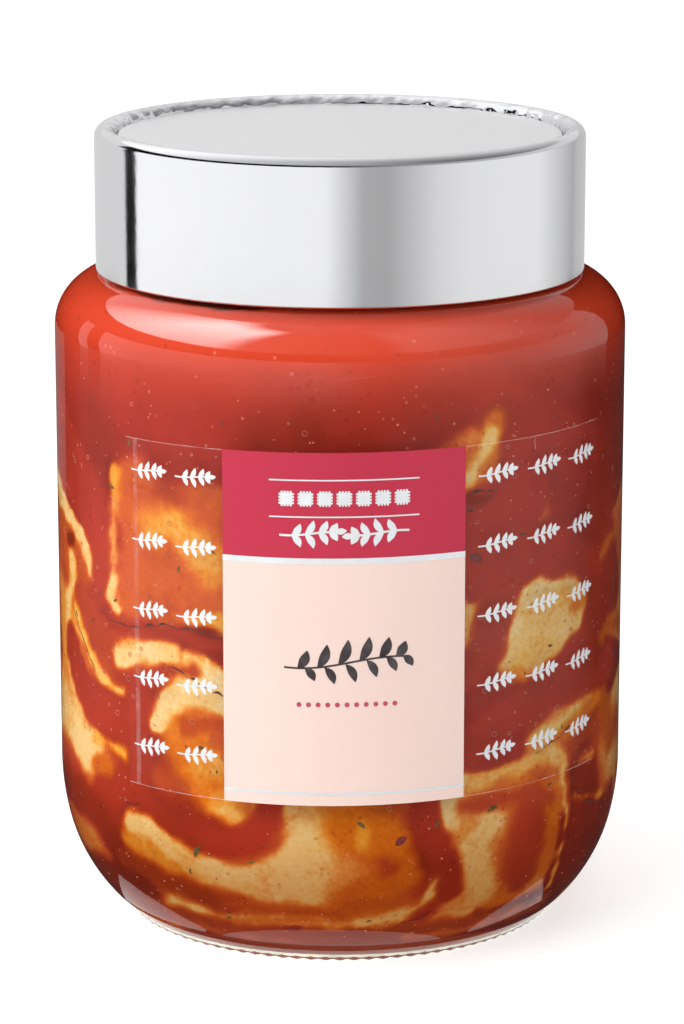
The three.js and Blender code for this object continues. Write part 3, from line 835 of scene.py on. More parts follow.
sauceMaterial = contents("Tomato sauce over pasta")
pastaMaterial = contents("Egg pasta")


def ravioliPiece(name, orders):
    count = raviolo["cells"] + 1
    points, faces, depths, ambers = [], [], [], []
    for order in orders:
        made, depth, amber = ravioloPoints(order)
        faces += slabFaces(count, count, sum(len(p) for p in points))
        points.append(made)
        depths.append(depth)
        ambers.append(amber)
    piece = newObject(name, np.vstack(points), faces, pastaMaterial)
    setValues(piece, "sauceDepth", np.concatenate(depths))
    setValues(piece, "amber", np.concatenate(ambers))
    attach(piece, "root")
    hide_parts("ravioli_heap")
    return piece


ravioliPiece("Ravioli.Front", range(len(frontRavioli)))
ravioliPiece("Ravioli.Back", range(len(frontRavioli), len(allRavioli)))

topPile = {"count": 5, "ring": 20.0, "height": 83.0, "seed": 5}


def topRavioli():
    # in a ring, each with an edge on the next one, round one in the middle: place, spin in degrees and slope
    f = topPile
    share = seededShares(f["seed"])
    made = [((2, -1, f["height"] + 5), 20, (0.1, -0.06))]
    for i in range(f["count"]):
        angle = math.radians(20 + 360 * i / f["count"] + 10 * (next(share) - 0.5))
        outX, outY = math.sin(angle), -math.cos(angle)
        place = (f["ring"] * outX, f["ring"] * outY, f["height"] + 2 * next(share))
        made.append((place, 90 * next(share), (-0.22 * outY - 0.1 * outX, 0.22 * outX - 0.1 * outY)))
    return made


def layOnTop():
    # the ravioli that lie on the heap, under the sauce
    f = raviolo
    count = f["cells"] + 1
    v, u = np.meshgrid(np.linspace(-1, 1, count), np.linspace(-1, 1, count), indexing="ij")
    x = f["side"] / 2 * u * (1 - f["cornerPull"] * v * v)
    y = f["side"] / 2 * v * (1 - f["cornerPull"] * u * u)
    flat = dict.fromkeys(ravioloTerms, 0)
    rise = outerDepth(flat, x, y, u, v)[1] - f["borderThickness"]
    points, faces = [], []
    for place, spin, slope in topRavioli():
        turn = math.radians(spin)
        across = x * math.cos(turn) - y * math.sin(turn)
        along = x * math.sin(turn) + y * math.cos(turn)
        level = place[2] + slope[0] * across + slope[1] * along
        faces += slabFaces(count, count, sum(len(p) for p in points))
        sheets = [np.stack([place[0] + across, place[1] + along, level + side], -1).reshape(-1, 3)
                  for side in (f["borderThickness"] / 2 + 0.6 * rise, -f["borderThickness"] / 2 - 0.4 * rise)]
        points.append(np.vstack(sheets))
    piece = newObject("Ravioli.Top", np.vstack(points), faces, pastaMaterial)
    setValues(piece, "sauceDepth", np.full(len(piece.data.vertices), 1.0))
    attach(piece, "root")
    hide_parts("ravioli_heap")


layOnTop()
print("ravioli laid in")


# The sauce fills the jar out to the glass. Its colour follows how deep the pasta lies behind the glass.

sauceBody = {
    "intoGlass": 0.08, "level": 112.0, "levelUneven": 0.15, "highSide": 0.45, "highest": 112.6, "sink": 1.3,
    "frontHalf": 88.0, "frontStep": 0.5, "backStep": 1.3, "rowStep": 0.55, "shoulderRows": 26, "deepest": 12.0,
    # the rings of its floor and its top, by their share of the edge's radius, and how both look
    "floorRings": (0.3, 0.6, 0.85), "topRings": (0.99, 0.975, 0.955, 0.93, 0.8, 0.4),
    "endDepth": 3.2, "endAmber": 0.9,
}


def sauceAngles():
    f = sauceBody
    front = math.radians(f["frontHalf"])
    frontCount = round(2 * front * innerRadius / f["frontStep"])
    backCount = round((2 * math.pi - 2 * front) * innerRadius / f["backStep"])
    return np.concatenate([
        np.linspace(-front, front, frontCount, endpoint=False),
        np.linspace(front, 2 * math.pi - front, backCount, endpoint=False),
    ])


def sauceSides(angles):
    # radius, height and distance up the wall for every row and column, up to the uneven level of the sauce
    f, j = sauceBody, jarForm
    out = f["intoGlass"]
    distance = np.arange(0, float(upTheWall(j["bodyTop"])), f["rowStep"])[:, None] + 0 * angles
    radius, height = wallPlace(distance, -out)
    centre = j["neckRadius"] - j["wall"]
    width, rise = j["bodyRadius"] - j["neckRadius"] + out, j["innerShoulderRise"] + out
    wave = np.sin(3 * angles + 1) + 0.7 * np.sin(7 * angles + 2)
    wave = wave + 0.5 * np.sin(17 * angles) + 0.3 * np.sin(41 * angles)
    level = f["level"] + f["levelUneven"] * wave + f["highSide"] * np.cos(angles - 0.6)
    level = np.minimum(level, f["highest"])
    reach = np.arcsin((level - j["bodyTop"]) / rise)
    turn = np.linspace(0, 1, f["shoulderRows"])[:, None] * reach
    upper = rise * np.sin(turn)
    return (
        np.vstack([radius, centre + width * np.cos(turn)]),
        np.vstack([height, j["bodyTop"] + upper]),
        np.vstack([distance, float(upTheWall(j["bodyTop"])) + upper]),
    )


def sauceDepths(angle, distance):
    depth = np.full(angle.shape, sauceBody["deepest"])
    covered = distance > float(upTheWall(jarForm["bodyTop"]))
    for one in allRavioli:
        there, _, inside = overWall(one, angle, distance)
        depth = np.where(inside & ~covered, there, depth)
        covered = covered | inside
    return np.minimum(depth + smearDepth(angle, distance), sauceBody["deepest"])


def softened(depth):
    # deep things look blurred through cloudy sauce
    blurred = depth.copy()
    for _ in range(4):
        blurred = (blurred + np.roll(blurred, 1, 1) + np.roll(blurred, -1, 1)) / 3
        above, below = np.vstack([blurred[:1], blurred[:-1]]), np.vstack([blurred[1:], blurred[-1:]])
        blurred = (blurred + above + below) / 3
    share = np.clip((depth - 0.1) / 1.6, 0.25, 1)
    return depth * (1 - share) + blurred * share


def makeSauce():
    # the sides from the floor's edge to the sauce's edge, and rings from both edges in to a middle point
    f = sauceBody
    angles = sauceAngles()
    radius, height, distance = sauceSides(angles)
    around = np.broadcast_to(angles, distance.shape)
    depth, amber = laidBands(softened(sauceDepths(around, distance)), around, distance)
    floor, dome, surface = jarForm["floorHeight"] - f["intoGlass"], jarForm["floorDome"], f["level"] - f["sink"]

    def ring(edge, share, level):
        return share * radius[edge], level + (height[edge] - level) * np.clip((share - 0.9) * 10, 0, 1) ** 2

    low = [ring(0, share, floor + dome * (1 - share * share)) for share in f["floorRings"]]
    high = [ring(-1, share, surface) for share in f["topRings"]]
    radii, heights = (np.vstack([made[k] for made in low] + [side] + [made[k] for made in high])
                      for k, side in enumerate((radius, height)))
    points = roundTheJar(radii, angles, heights).reshape(-1, 3)
    faces = gridFaces(len(radii), len(angles), closedRound=True)
    points = withMiddles(points, faces, len(radii), len(angles), floor + dome, surface)
    piece = newObject("Sauce.Body", points, faces, sauceMaterial)
    for name, sides, end in (("sauceDepth", depth, f["endDepth"]), ("amber", amber, f["endAmber"])):
        below, above = np.full(len(low) * len(angles), end), np.full(len(high) * len(angles) + 2, end)
        setValues(piece, name, np.concatenate([below, sides.ravel(), above]))
    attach(piece, "root")
    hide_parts("ravioli_heap")
    return piece


sauce = makeSauce()
print("sauce poured", len(sauce.data.polygons))


# The film label, its two printed fields, its rules and its small silver sprigs

labelForm = {
    "bottom": 31.7, "top": 92.2, "bandBottom": 74.3, "filmStart": -45.8, "panelStart": -22.8,
    "panelEnd": 24.5, "filmEnd": 60.8, "inner": 50.06, "print": 0.14, "film": 0.08, "slope": 0.0096,
}


def labelPoint(angleDegrees, height, radius):
    angle = np.radians(angleDegrees)
    return roundTheJar(radius, angle, height + labelForm["slope"] * labelForm["inner"] * angle)


def labelSheet(name, start, end, bottom, top, thickness, material, node, slot):
    columns = max(2, int((end - start) / 0.75) + 1)
    rows = max(2, int((top - bottom) / 2) + 1)
    angle, height = np.meshgrid(np.linspace(start, end, columns), np.linspace(bottom, top, rows))
    sheets = (labelForm["inner"] + thickness, labelForm["inner"])
    points = np.vstack([labelPoint(angle, height, radius).reshape(-1, 3) for radius in sheets])
    piece = newObject(name, points, slabFaces(rows, columns), material, smooth=False)
    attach(piece, "root")
    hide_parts(node)
    return piece


def printedFilm(name, colour, paler):
    film = Finish(name)
    tone = film.noise(30, 2.0)
    grain = film.noise(2500, 2.0)
    base = film.mix(film.range(tone, 0.3, 0.7, 0.0, 1.0), colour, paler)
    film.set(Base_Color=film.mix(film.range(grain, 0.3, 0.7, 0.0, 0.04), base, (0.2, 0.1, 0.1, 1)))
    film.set(Roughness=film.range(grain, 0.3, 0.7, 0.36, 0.46), Specular_IOR_Level=0.4)
    film.bump(grain, 0.03, 0.0004)
    return film.material


def clearFilm(name, alpha):
    film = Finish(name)
    film.set(Base_Color=linearColour(240, 232, 232), Roughness=0.25)
    film.set(Alpha=film.range(film.noise(260, 2.0), 0.4, 0.6, 0.5 * alpha, 1.5 * alpha))
    film.bump(film.noise(90, 2.0), 0.05, 0.001)
    return film.material


def silverInk():
    ink = Finish("Silver ink")
    tone = ink.noise(400, 2.0)
    ink.set(Base_Color=ink.mix(tone, linearColour(228, 232, 236), linearColour(250, 252, 253)))
    ink.set(Metallic=0.25, Roughness=0.35)
    return ink.material


def plainInk(name, colour):
    ink = Finish(name)
    wear = ink.range(ink.noise(500, 2.0), 0.3, 0.7, 0.0, 0.2)
    ink.set(Base_Color=ink.mix(wear, colour, (0.3, 0.25, 0.25, 1)))
    ink.set(Roughness=0.45)
    return ink.material


creamPrint = printedFilm("Cream print", linearColour(240, 214, 202), linearColour(238, 210, 200))
raspberryPrint = printedFilm("Raspberry print", linearColour(190, 34, 64), linearColour(196, 38, 70))
film = clearFilm("Clear film", 0.003)
lf = labelForm
for name, sides, levels, layer, finish, node, slot in (
        ("Label.Band", ("panelStart", "panelEnd"), ("bandBottom", "top"), "print",
         raspberryPrint, "label_band", "raspberry_print"),
        ("Label.Panel", ("panelStart", "panelEnd"), ("bottom", "bandBottom"), "print",
         creamPrint, "label_panel", "cream_print"),
        ("Label.FilmLeft", ("filmStart", "panelStart"), ("bottom", "top"), "film",
         film, "label_film_left", "clear_film"),
        ("Label.FilmRight", ("panelEnd", "filmEnd"), ("bottom", "top"), "film",
         film, "label_film_right", "clear_film")):
    labelSheet(name, *(lf[key] for key in sides + levels + (layer,)), finish, node, slot)


def ribbon(centres, halfWidths):
    # a flat stroke: its centre line and half its width along it, in millimetres on the label
    centres = np.array(centres, float)
    halfWidths = np.broadcast_to(np.asarray(halfWidths, float), (len(centres),))
    along = np.gradient(centres, axis=0)
    along /= np.linalg.norm(along, axis=1)[:, None] + 1e-9
    across = np.stack([-along[:, 1], along[:, 0]], 1)
    return centres - across * halfWidths[:, None], centres + across * halfWidths[:, None]


def leaf(start, end, width, bend=0.0, steps=10):
    start, end = np.array(start, float), np.array(end, float)
    t = np.linspace(0, 1, steps + 1)[:, None]
    side = np.array([-(end - start)[1], (end - start)[0]])
    line = start + (end - start) * t + side * bend * np.sin(math.pi * t)
    return ribbon(line, width * np.sin(math.pi * np.clip(t[:, 0], 0.02, 0.98)) ** 0.8)


def dot(x, y, radius, steps=10):
    t = np.linspace(-0.995, 0.995, steps + 1)
    return ribbon(np.stack([x + radius * t, np.full_like(t, y)], 1), radius * np.sqrt(1 - t * t))


def sprig(scale=1.0):
    # a small herb sprig, lying to the right
    stem = [(x, 0.25 * math.sin(x * 0.55)) for x in np.linspace(-4.0, 3.2, 14)]
    shapes = [ribbon(stem, 0.14)]
    for x, reach in ((-2.4, 1.5), (-0.7, 1.8), (1.0, 1.55), (2.3, 1.15)):
        base = (x, 0.25 * math.sin(x * 0.55))
        shapes.append(leaf(base, (x + 1.1, base[1] + reach), 0.46, -0.12))
        shapes.append(leaf(base, (x + 1.1, base[1] - reach), 0.46, 0.12))
    shapes.append(leaf((3.1, 0.24), (4.6, 0.4), 0.42))
    return [(left * scale, right * scale) for left, right in shapes]


def inlay(name, placed, material, radius, thickness=0.035):
    # placed: (shapes, angle, height, turn) for each motif, laid on the label as thin closed strips
    points, faces = [], []
    for shapes, angle, height, turn in placed:
        c, s = math.cos(math.radians(turn)), math.sin(math.radians(turn))
        for left, right in shapes:
            count = len(left)
            start = len(points)
            for level in (radius + thickness, radius):
                for line in (left, right):
                    x = line[:, 0] * c - line[:, 1] * s
                    y = line[:, 0] * s + line[:, 1] * c
                    here = labelPoint(angle + np.degrees(x / labelForm["inner"]), height + y, level)
                    points.extend(here.tolist())
            faces += stripFaces(count, start)
    piece = newObject(name, points, faces, material, smooth=False)
    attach(piece, "root")
    return piece


silver = silverInk()
sprigGrid = {"leftColumns": (-40, -29), "rightColumns": (31.5, 43, 54.5), "heights": (87, 75, 63, 51, 39)}
sprigs = []
for column in sprigGrid["leftColumns"] + sprigGrid["rightColumns"]:
    for height in sprigGrid["heights"]:
        sprigs.append((sprig(0.92), column, height, 0))
inlay("Label.Sprigs", sprigs, silver, lf["inner"] + lf["film"] + 0.01)


def straight(halfLength, halfWidth):
    return ribbon([(x, 0) for x in np.linspace(-halfLength, halfLength, 40)], halfWidth)


def filmEdges():
    # the cut edges of the film are drawn as paler strips, a painted highlight where they catch the light, and a
    # narrow paler stripe runs down near its left end
    edges = []
    onTheFilm = lf["inner"] + lf["film"] + 0.005
    for start, end in ((lf["filmStart"], lf["panelStart"]), (lf["panelEnd"], lf["filmEnd"])):
        edge = straight(math.radians(end - start) / 2 * lf["inner"], 0.05)
        for height in (lf["bottom"] + 0.06, lf["top"] - 0.06):
            edges.append(([edge], (start + end) / 2, height, 0))
    # a small nick in the top edge
    edges.append(([ribbon([(0, 0), (0, -1.2), (0.1, -2.2)], 0.05)], 40.5, lf["top"] - 0.1, 0))
    inlay("Label.FilmEdges", edges, clearFilm("Film edge highlight", 0.16), onTheFilm)
    fold = straight((lf["top"] - lf["bottom"]) / 2 - 0.1, 0.5)
    stripe = [([fold], lf["filmStart"] + 2.6, (lf["top"] + lf["bottom"]) / 2, 90)]
    inlay("Label.FilmStripe", stripe, clearFilm("Paler film stripe", 0.035), onTheFilm, 0.003)


filmEdges()
onThePrint = lf["inner"] + lf["print"] + 0.01
labelMiddle = (lf["panelStart"] + lf["panelEnd"]) / 2
halfPanel = math.radians(lf["panelEnd"] - lf["panelStart"]) / 2 * lf["inner"]


def rule(height, halfLength, halfWidth):
    return ([straight(halfLength, halfWidth)], labelMiddle, height, 0)


def bandOrnament():
    # a row of little ravioli between fine rules, over a long sprig
    shapes = []
    for x in np.linspace(-9.6, 9.6, 7):
        shapes.append(ribbon([(x - 1, 0), (x + 1, 0)], 1))
        for k in (-0.75, -0.25, 0.25, 0.75):
            for side in (-1.12, 1.12):
                shapes.append(dot(x + k, side, 0.2, 6))
                shapes.append(dot(x + side, k, 0.2, 6))
    return shapes


silverPrint = [
    rule(73.9, halfPanel, 0.5), rule(33.8, halfPanel, 0.22), rule(87.6, 12.5, 0.12), rule(81.4, 12.5, 0.12),
    (bandOrnament(), labelMiddle, 84.5, 0),
    (sprig(1.3), labelMiddle - 6.4, 78.6, 0), (sprig(1.3), labelMiddle + 6.4, 78.6, 180),
]
inlay("Label.SilverPrint", silverPrint, silver, onThePrint)


def basilSprig():
    shapes = [ribbon([(x, 0.9 * math.sin(x * 0.2)) for x in np.linspace(-10.5, 10.5, 40)], 0.16)]
    for x, reach in ((-8.2, 3.0), (-4.9, 3.9), (-1.4, 4.2), (2.1, 4.0), (5.4, 3.4), (8.2, 2.5)):
        base = (x, 0.9 * math.sin(x * 0.2))
        shapes.append(leaf(base, (x + 1.6, base[1] + reach), 0.85, -0.1, 14))
        shapes.append(leaf((x + 1.2, base[1]), (x + 2.8, base[1] - reach * 0.72), 0.7, 0.1, 14))
    return shapes


darkInk = plainInk("Dark ink", linearColour(52, 44, 46))
roseInk = plainInk("Rose ink", linearColour(196, 50, 88))
beads = [dot(x, 0, 0.42) for x in np.linspace(-8, 8, 11)]
inlay("Label.DarkPrint", [(basilSprig(), labelMiddle + 0.5, 56.5, 0)], darkInk, onThePrint)
inlay("Label.RosePrint", [(beads, labelMiddle + 0.5, 49.3, 0)], roseInk, onThePrint)
print("label stuck on")


# Herb flecks, bubbles and painted shadows in the creases between the sauce and the glass

smallThings = {
    # herb flecks that stand out: angle, height, length, turn
    "herbs": [(-30.8, 20.8, 2.6, 60), (-18.5, 20.2, 1.3, 12), (4.2, 27.6, 1.8, -40), (32.5, 28.2, 2.2, 18),
              (-34, 70, 1.2, 80), (48, 30, 1.3, 20), (-52, 62, 1.2, 30), (20, 27, 1.4, 75)],
    "redSpots": [(12.5, 24.4, 2.3, 35), (28, 72.5, 2.6, -30), (-24, 96, 0.8, 20)],
    "moreHerbs": 70, "dots": 1100, "rings": 170, "driftHeight": 108,
    # painted shadows in the creases along the edges of ravioli: half the width, and its line of (angle, height)
    "creaseShadows": [
        (0.16, [(-57.5, 59.6), (-54, 58.4), (-49, 58.2), (-44, 58.7), (-38, 60), (-31, 59.6), (-24, 59)]),
        (0.2, [(-37, 53), (-33.5, 52.2), (-30, 51), (-26.5, 49.6), (-24, 49)]),
        (0.1, [(-50, 25.8), (-48, 26.6), (-45, 26.9)]), (0.1, [(-71, 57.4), (-68, 55), (-64, 51.6), (-60, 48)]),
        (0.18, [(13.5, 8.4), (16, 9.3), (19, 9.6), (22, 11.2)]), (0.1, [(56.5, 27.2), (58, 26.8), (60, 26)]),
        (0.12, [(43.5, 36.4), (47, 37.2), (51, 38), (54.5, 39)]), (0.14, [(60, 24.6), (65, 23.2), (70, 22.6)]),
        (0.22, [(26, 83.6), (29, 84.1), (33, 83.6)]), (0.18, [(26, 80.8), (28.5, 80.6)]),
        (0.08, [(55.4, 31), (56, 27), (56.4, 20), (58.2, 14)]),
        (0.09, [(-82, 77.4), (-74, 76.6), (-68, 74.6), (-64, 72.6)]),
    ],
}


def speck(name, first, second, roughness):
    look = Finish(name)
    tone = look.range(look.noise(700, 2.0), 0.35, 0.65)
    look.set(Base_Color=look.mix(tone, first, second), Roughness=roughness)
    return look.material


def wallSheet(name, shapes, level, material):
    # flat strokes on the inside of the glass: (left, right) lines in millimetres round an angle and a distance
    points, faces = [], []
    for (left, right), angle, distance in shapes:
        count, start = len(left), len(points)
        for depth in (level, level + 0.12):
            for line in (left, right):
                along = distance + line[:, 1]
                radius, height = wallPlace(along, depth)
                points.extend(roundTheJar(radius, angle + line[:, 0] / wallRadius(along), height).tolist())
        faces += stripFaces(count, start)
    piece = newObject(name, points, faces, material, smooth=False)
    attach(piece, "root")


def fleckShape(length, turnDegrees, plumpness):
    turn = math.radians(turnDegrees)
    end = (0.5 * length * math.cos(turn), 0.5 * length * math.sin(turn))
    return leaf((-end[0], -end[1]), end, length * plumpness, 0.08, 8)


def anywhere(lowest=2.0):
    highest = float(upTheWall(smallThings["driftHeight"])) - 8
    return randomSource.uniform(-math.pi, math.pi), randomSource.uniform(lowest, highest)


def scatterHerbs():
    shapes = []
    for angle, height, length, turn in smallThings["herbs"]:
        shapes.append((fleckShape(length, turn, 0.17), math.radians(angle), float(upTheWall(height))))
    for _ in range(smallThings["moreHerbs"]):
        length, turn = randomSource.uniform(0.5, 1.4), randomSource.uniform(0, 180)
        shapes.append((fleckShape(length, turn, randomSource.uniform(0.12, 0.22)), *anywhere()))
    herb = speck("Herb fleck", linearColour(70, 62, 18), linearColour(122, 96, 34), 0.6)
    wallSheet("Sauce.Herbs", shapes, -0.22, herb)
    red = [(fleckShape(length, turn, 0.3), math.radians(angle), float(upTheWall(height)))
           for angle, height, length, turn in smallThings["redSpots"]]
    skin = speck("Tomato skin", linearColour(96, 18, 20), linearColour(140, 30, 26), 0.5)
    wallSheet("Sauce.RedSpots", red, -0.21, skin)


def scatterBubbles():
    shapes = [(dot(0, 0, randomSource.uniform(0.07, 0.2), 6), *anywhere()) for _ in range(smallThings["dots"])]
    for _ in range(smallThings["rings"]):
        size = randomSource.uniform(0.25, 0.5)
        turn = np.radians(np.linspace(0, 352, 15))
        shapes.append((ribbon(np.stack([size * np.cos(turn), size * np.sin(turn)], 1), 0.045), *anywhere(30)))
    bubble = speck("Bubble", linearColour(196, 84, 64), linearColour(228, 140, 110), 0.3)
    wallSheet("Sauce.Bubbles", shapes, -0.2, bubble)


def drawCreaseShadows():
    shapes = []
    for order, (halfWidth, line) in enumerate(smallThings["creaseShadows"]):
        share = np.linspace(0, len(line) - 1, 60)
        angle, distance = (np.interp(share, range(len(line)), part) for part in zip(*line))
        angle, distance = np.radians(angle), upTheWall(distance)
        middleAngle, middleDistance = angle.mean(), distance.mean()
        line = np.stack([(angle - middleAngle) * wallRadius(distance), distance - middleDistance], 1)
        uneven = np.array([noise.noise(Vector((x * 0.6, y * 0.6, order))) for x, y in line])
        line[:, 1] += 0.5 * uneven
        ends = np.sin(math.pi * np.linspace(0.02, 0.98, len(share))) ** 0.4
        widths = halfWidth * np.clip(0.6 + 1.8 * uneven, 0.06, 1.5) * ends
        shapes.append((ribbon(line, widths), middleAngle, middleDistance))
    # painted shade: dark strokes on the glass where the gaps along the ravioli's edges lie in shadow
    crease = speck("Painted crease shadow", linearColour(66, 16, 10), linearColour(116, 36, 24), 0.5)
    wallSheet("Sauce.CreaseShadows", shapes, -0.18, crease)


scatterHerbs()
scatterBubbles()
drawCreaseShadows()
print("flecks, bubbles and creases laid")


# Pale floor, soft studio light

studio = {
    "worldDepth": (0.5, 1.0), "worldAcross": (1.45, 0.25), "worldHeight": (0.7, 1.25),
    "floorColours": ((205, 205, 205), (212, 212, 212)), "floorGlow": 0.61, "underJarPaintedGlow": 1.3,
    "wallRadius": 400, "wallHeights": (46, 215, 335), "tableRadii": (40, 398), "cardRadius": 700,
    "frontSector": (-121, 128), "veilSector": (-180, -139), "veilStart": 340, "veil": 0.16, "dark": 0.03,
    # brightness by angle round the jar: of the far table, of the wall's upper border and of the wall
    "tableTones": [(-180, 0.03), (-128, 0.04), (-105, 0.3), (-60, 0.42), (-25, 0.15), (-8, 0.03),
                   (8, 0.03), (30, 0.3), (60, 0.5), (90, 0.3), (112, 0.03), (180, 0.03)],
    "borderTones": [(-180, 0.82), (-122, 0.8), (-121, 0.0), (-20, 0.0), (0, 0.08), (30, 0.35), (95, 0.65),
                    (180, 0.82)],
    "wallTones": [(-180, 0.72), (-150, 0.72), (-114, 0.78), (-113, 0.0), (-105, 0.0), (-104, 1.14), (-60, 1.12),
                  (-6, 1.05), (5, 0.66), (10, 0.48), (21, 0.45), (31, 0.6), (44, 0.8), (60, 0.9), (100, 0.94),
                  (116, 0.7), (134, 0.46), (139, 0.56), (180, 0.62)],
    # what the glass shows of the table close to the jar: sector in degrees, radii at its start and at its end
    "tablePatches": [((-72, -36), (41, 51), (41.2, 42)), ((-31, 26), (41.3, 41.4), (41.3, 41.4)),
                     ((34, 62), (41.6, 42), (44, 53))],
    "patchBulge": (0, 4.2, 0.6), "patchGlow": 0.75, "darkCorner": ((96, 178), (420, 3000), 0.06),
}


def receivers(name, state, *pieces):
    # the only pieces that a light or a card reaches, or with EXCLUDE the ones that it leaves out
    group = bpy.data.collections.new(name)
    for order, piece in enumerate(pieces):
        group.objects.link(piece)
        group.collection_objects[order].light_linking.link_state = state
    return group


# the floor's glow stays off the filling, the softboxes off the foil, and the cards off the lid
allButTheFoil = receivers("All but the foil", "EXCLUDE", lidShell)
allButTheLid = receivers("All but the lid", "EXCLUDE", lidShell, lidDisc)
theLid = receivers("The lid", "INCLUDE", lidShell, lidDisc)


def paleFloor():
    floorFinish = Finish("Pale floor")
    tone = floorFinish.noise(3, 2.0)
    low, high = (linearColour(*colour) for colour in studio["floorColours"])
    floorFinish.set(Base_Color=floorFinish.mix(tone, low, high), Roughness=0.9, Specular_IOR_Level=0.1)
    # painted light: the floor glows brighter under the clear foot of the jar, where the thick glass gathers
    # light
    across, away = (floorFinish.sums("POWER", floorFinish.along()[axis], 2) for axis in "XY")
    reach = floorFinish.sums("SQRT", floorFinish.sums("ADD", across, away))
    glow = floorFinish.range(reach, 0.035, 0.038, studio["underJarPaintedGlow"], studio["floorGlow"])
    floorFinish.set(Emission_Color=(1.0, 1.0, 1.0, 1.0), Emission_Strength=glow)
    return floorFinish.material


floorPoints = [(-3000, -3000, 0), (3000, -3000, 0), (3000, 3000, 0), (-3000, 3000, 0)]
floor = newObject("Stage.Floor", floorPoints, [(0, 1, 2, 3)], paleFloor(), smooth=False)
floor.light_linking.receiver_collection = receivers("All but the filling", "EXCLUDE", sauce)


def studioAir():
    # brighter behind the jar than in front of it, on its left than on its right, and overhead than at the side
    world = bpy.data.worlds.new("Studio")
    world.use_nodes = True
    tree = world.node_tree
    direction = tree.nodes.new("ShaderNodeTexCoord")
    parts = tree.nodes.new("ShaderNodeSeparateXYZ")
    tree.links.new(direction.outputs["Generated"], parts.inputs["Vector"])
    strength = None
    for axis, span, ends in (
            ("Y", (-0.35, 0.55), studio["worldDepth"]), ("X", (-0.9, 0.9), studio["worldAcross"]),
            ("Z", (0.0, 1.0), studio["worldHeight"])):
        share = tree.nodes.new("ShaderNodeMapRange")
        share.inputs["From Min"].default_value, share.inputs["From Max"].default_value = span
        share.inputs["To Min"].default_value, share.inputs["To Max"].default_value = ends
        tree.links.new(parts.outputs[axis], share.inputs["Value"])
        if strength:
            product = tree.nodes.new("ShaderNodeMath")
            product.operation = "MULTIPLY"
            tree.links.new(strength, product.inputs[0])
            tree.links.new(share.outputs["Result"], product.inputs[1])
            strength = product.outputs[0]
        else:
            strength = share.outputs["Result"]
    tree.links.new(strength, tree.nodes["Background"].inputs["Strength"])
    tree.nodes["Background"].inputs["Color"].default_value = (1, 1, 1, 1)
    scene.world = world


def glowing(name, clear=False):
    # a plain card or wall that only reflections show; a clear one adds its light to what is behind it
    finish = Finish(name)
    light = finish.tree.nodes.new("ShaderNodeEmission")
    finish.link(finish.value("glow"), light.inputs["Strength"])
    shown = light.outputs["Emission"]
    if clear:
        both = finish.tree.nodes.new("ShaderNodeAddShader")
        finish.link(shown, both.inputs[0])
        finish.link(finish.tree.nodes.new("ShaderNodeBsdfTransparent").outputs[0], both.inputs[1])
        shown = both.outputs[0]
    finish.link(shown, finish.output.inputs["Surface"])
    return finish.material


def onlyReflected(piece):
    piece.visible_camera = False
    piece.visible_diffuse = False
    piece.visible_transmission = False
    piece.visible_shadow = False


def reflectedCard(name, turns, rises, brightness):
    # a card on a wide sphere round the shoulder, brightest at its top, by angle and elevation in degrees
    turn, rise = np.meshgrid(np.linspace(*turns, 33), np.linspace(*rises, 17))
    reach = studio["cardRadius"] * np.cos(np.radians(rise))
    points = roundTheJar(reach, np.radians(turn), 100 + studio["cardRadius"] * np.sin(np.radians(rise)))
    faces = gridFaces(*turn.shape)
    card = newObject(name, points.reshape(-1, 3), faces, glowing(name, clear=True), smooth=False)
    setValues(card, "glow", brightness(turn, rise).ravel())
    onlyReflected(card)
    card.light_linking.receiver_collection = allButTheLid


def glowSheet(name, rows, tones):
    # rows: each an array of points round the jar; tones: the brightness at each of them
    sheet = newObject(name, np.vstack(rows), gridFaces(len(rows), len(rows[0])), glowing(name), smooth=False)
    setValues(sheet, "glow", np.concatenate(tones))
    onlyReflected(sheet)
    return sheet


def studioWall():
    low, middle, high = studio["wallHeights"]
    start, end = studio["frontSector"]
    for name, first, last in (("Stage.WallFront", start, end), ("Stage.WallBack", end, start + 360)):
        angles = np.arange(first, last + 0.01, 1.0)
        known = (angles + 180) % 360 - 180
        side, border = (np.interp(known, *zip(*studio[tones])) for tones in ("wallTones", "borderTones"))
        levels = (low, middle, middle, high)
        rows = [roundTheJar(studio["wallRadius"], np.radians(angles), height) for height in levels]
        wall = glowSheet(name, rows, [side, side, border, border])
        if name == "Stage.WallBack":
            wall.light_linking.receiver_collection = theLid


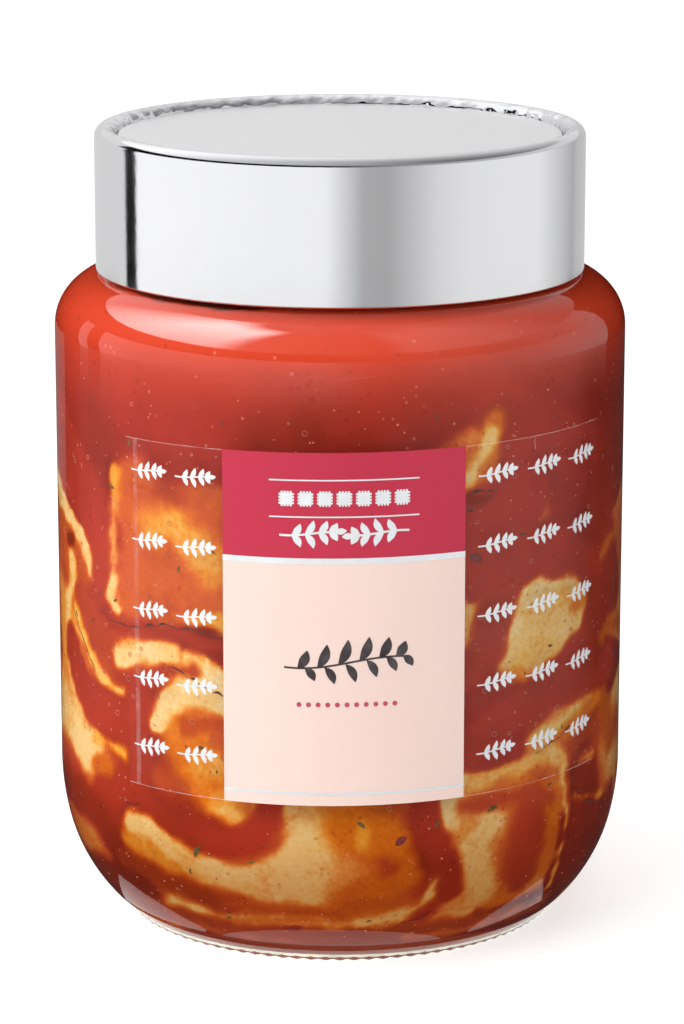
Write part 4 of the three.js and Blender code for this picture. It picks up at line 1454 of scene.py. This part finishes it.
def darkTable():
    # what the glass shows of the table: dark, but lighter far away to the front and at the back left
    angles = np.arange(-180, 180.01, 1.0)
    near, far = studio["tableRadii"]
    low, veilStart = studio["wallHeights"][0], studio["veilStart"]
    dark = np.full(angles.shape, studio["dark"])
    wide = np.interp(angles, *zip(*studio["tableTones"]))
    veil = np.where((angles > studio["veilSector"][0]) & (angles < studio["veilSector"][1]), studio["veil"], 0)
    start, end = studio["frontSector"]
    lit = np.where((angles > start) & (angles < end), np.interp(angles, *zip(*studio["wallTones"])), veil)
    places = [
        (near, 1, dark), (110, 1, dark), (260, 1, wide), (veilStart, 1, wide), (veilStart + 1, 1, wide + veil),
        (far, 1, wide + veil), (far, 25, wide + veil), (far, 36, veil + 0.25 * (lit - veil) + 0.6 * wide),
        (far, low, lit),
    ]
    rows = [roundTheJar(radius, np.radians(angles), z) for radius, z, _ in places]
    glowSheet("Stage.DarkTable", rows, [tone for _, _, tone in places])
    for number, (sector, start, end) in enumerate(studio["tablePatches"]):
        share = np.linspace(0, 1, 31)
        turn = np.radians(sector[0] + (sector[1] - sector[0]) * share)
        near, far = (start[k] + (end[k] - start[k]) * share for k in (0, 1))
        far = far + studio["patchBulge"][number] * np.sin(math.pi * share) ** 0.7
        edges = [roundTheJar(radius, turn, 1.3) for radius in (near, far)]
        glowSheet(f"Stage.TablePatch{number}", edges, [np.full(turn.shape, studio["patchGlow"])] * 2)
    # the right of the shoulder shows the table far behind the jar
    sector, radii, tone = studio["darkCorner"]
    turn = np.radians(np.linspace(*sector, 42))
    edges = [roundTheJar(radius, turn, 1) for radius in radii]
    glowSheet("Stage.DarkCorner", edges, [np.full(turn.shape, tone)] * 2)


studioAir()
studioWall()
darkTable()
reflectedCard("Stage.LeftCard", (-42, -140), (14, 74), lambda turn, rise: (
    12.3 * np.clip(rise / 62, 0, 1) ** 1.1 * np.clip((-42 - turn) / 14, 0, 1)
    * np.clip((turn + 140) / 40, 0, 1) * np.clip((74 - rise) / 7, 0, 1)))
reflectedCard("Stage.RightCard", (20, 118), (8, 82), lambda turn, rise: (
    0.9 * np.clip((turn - 20) / 14, 0, 1) * np.clip((118 - turn) / 40, 0, 1) * np.clip((82 - rise) / 16, 0, 1)))


def softbox(name, place, aim, width, height, power):
    light = bpy.data.objects.new(name, bpy.data.lights.new(name, "AREA"))
    light.data.shape = "RECTANGLE"
    light.data.size = width
    light.data.size_y = height
    light.data.energy = power
    light.location = place
    light.rotation_euler = (Vector(aim) - Vector(place)).to_track_quat("-Z", "Y").to_euler()
    light.light_linking.receiver_collection = allButTheFoil
    light.visible_glossy = False
    scene.collection.objects.link(light)


softbox("Left softbox", (-0.55, -0.35, 0.80), (0, 0, 0.08), 0.8, 0.6, 6)
softbox("Right softbox", (0.20, -0.75, 0.85), (0, 0, 0.08), 0.6, 0.6, 2.3)
print("studio lit")

scene.view_settings.view_transform = "Standard"
scene.view_settings.look = "None"
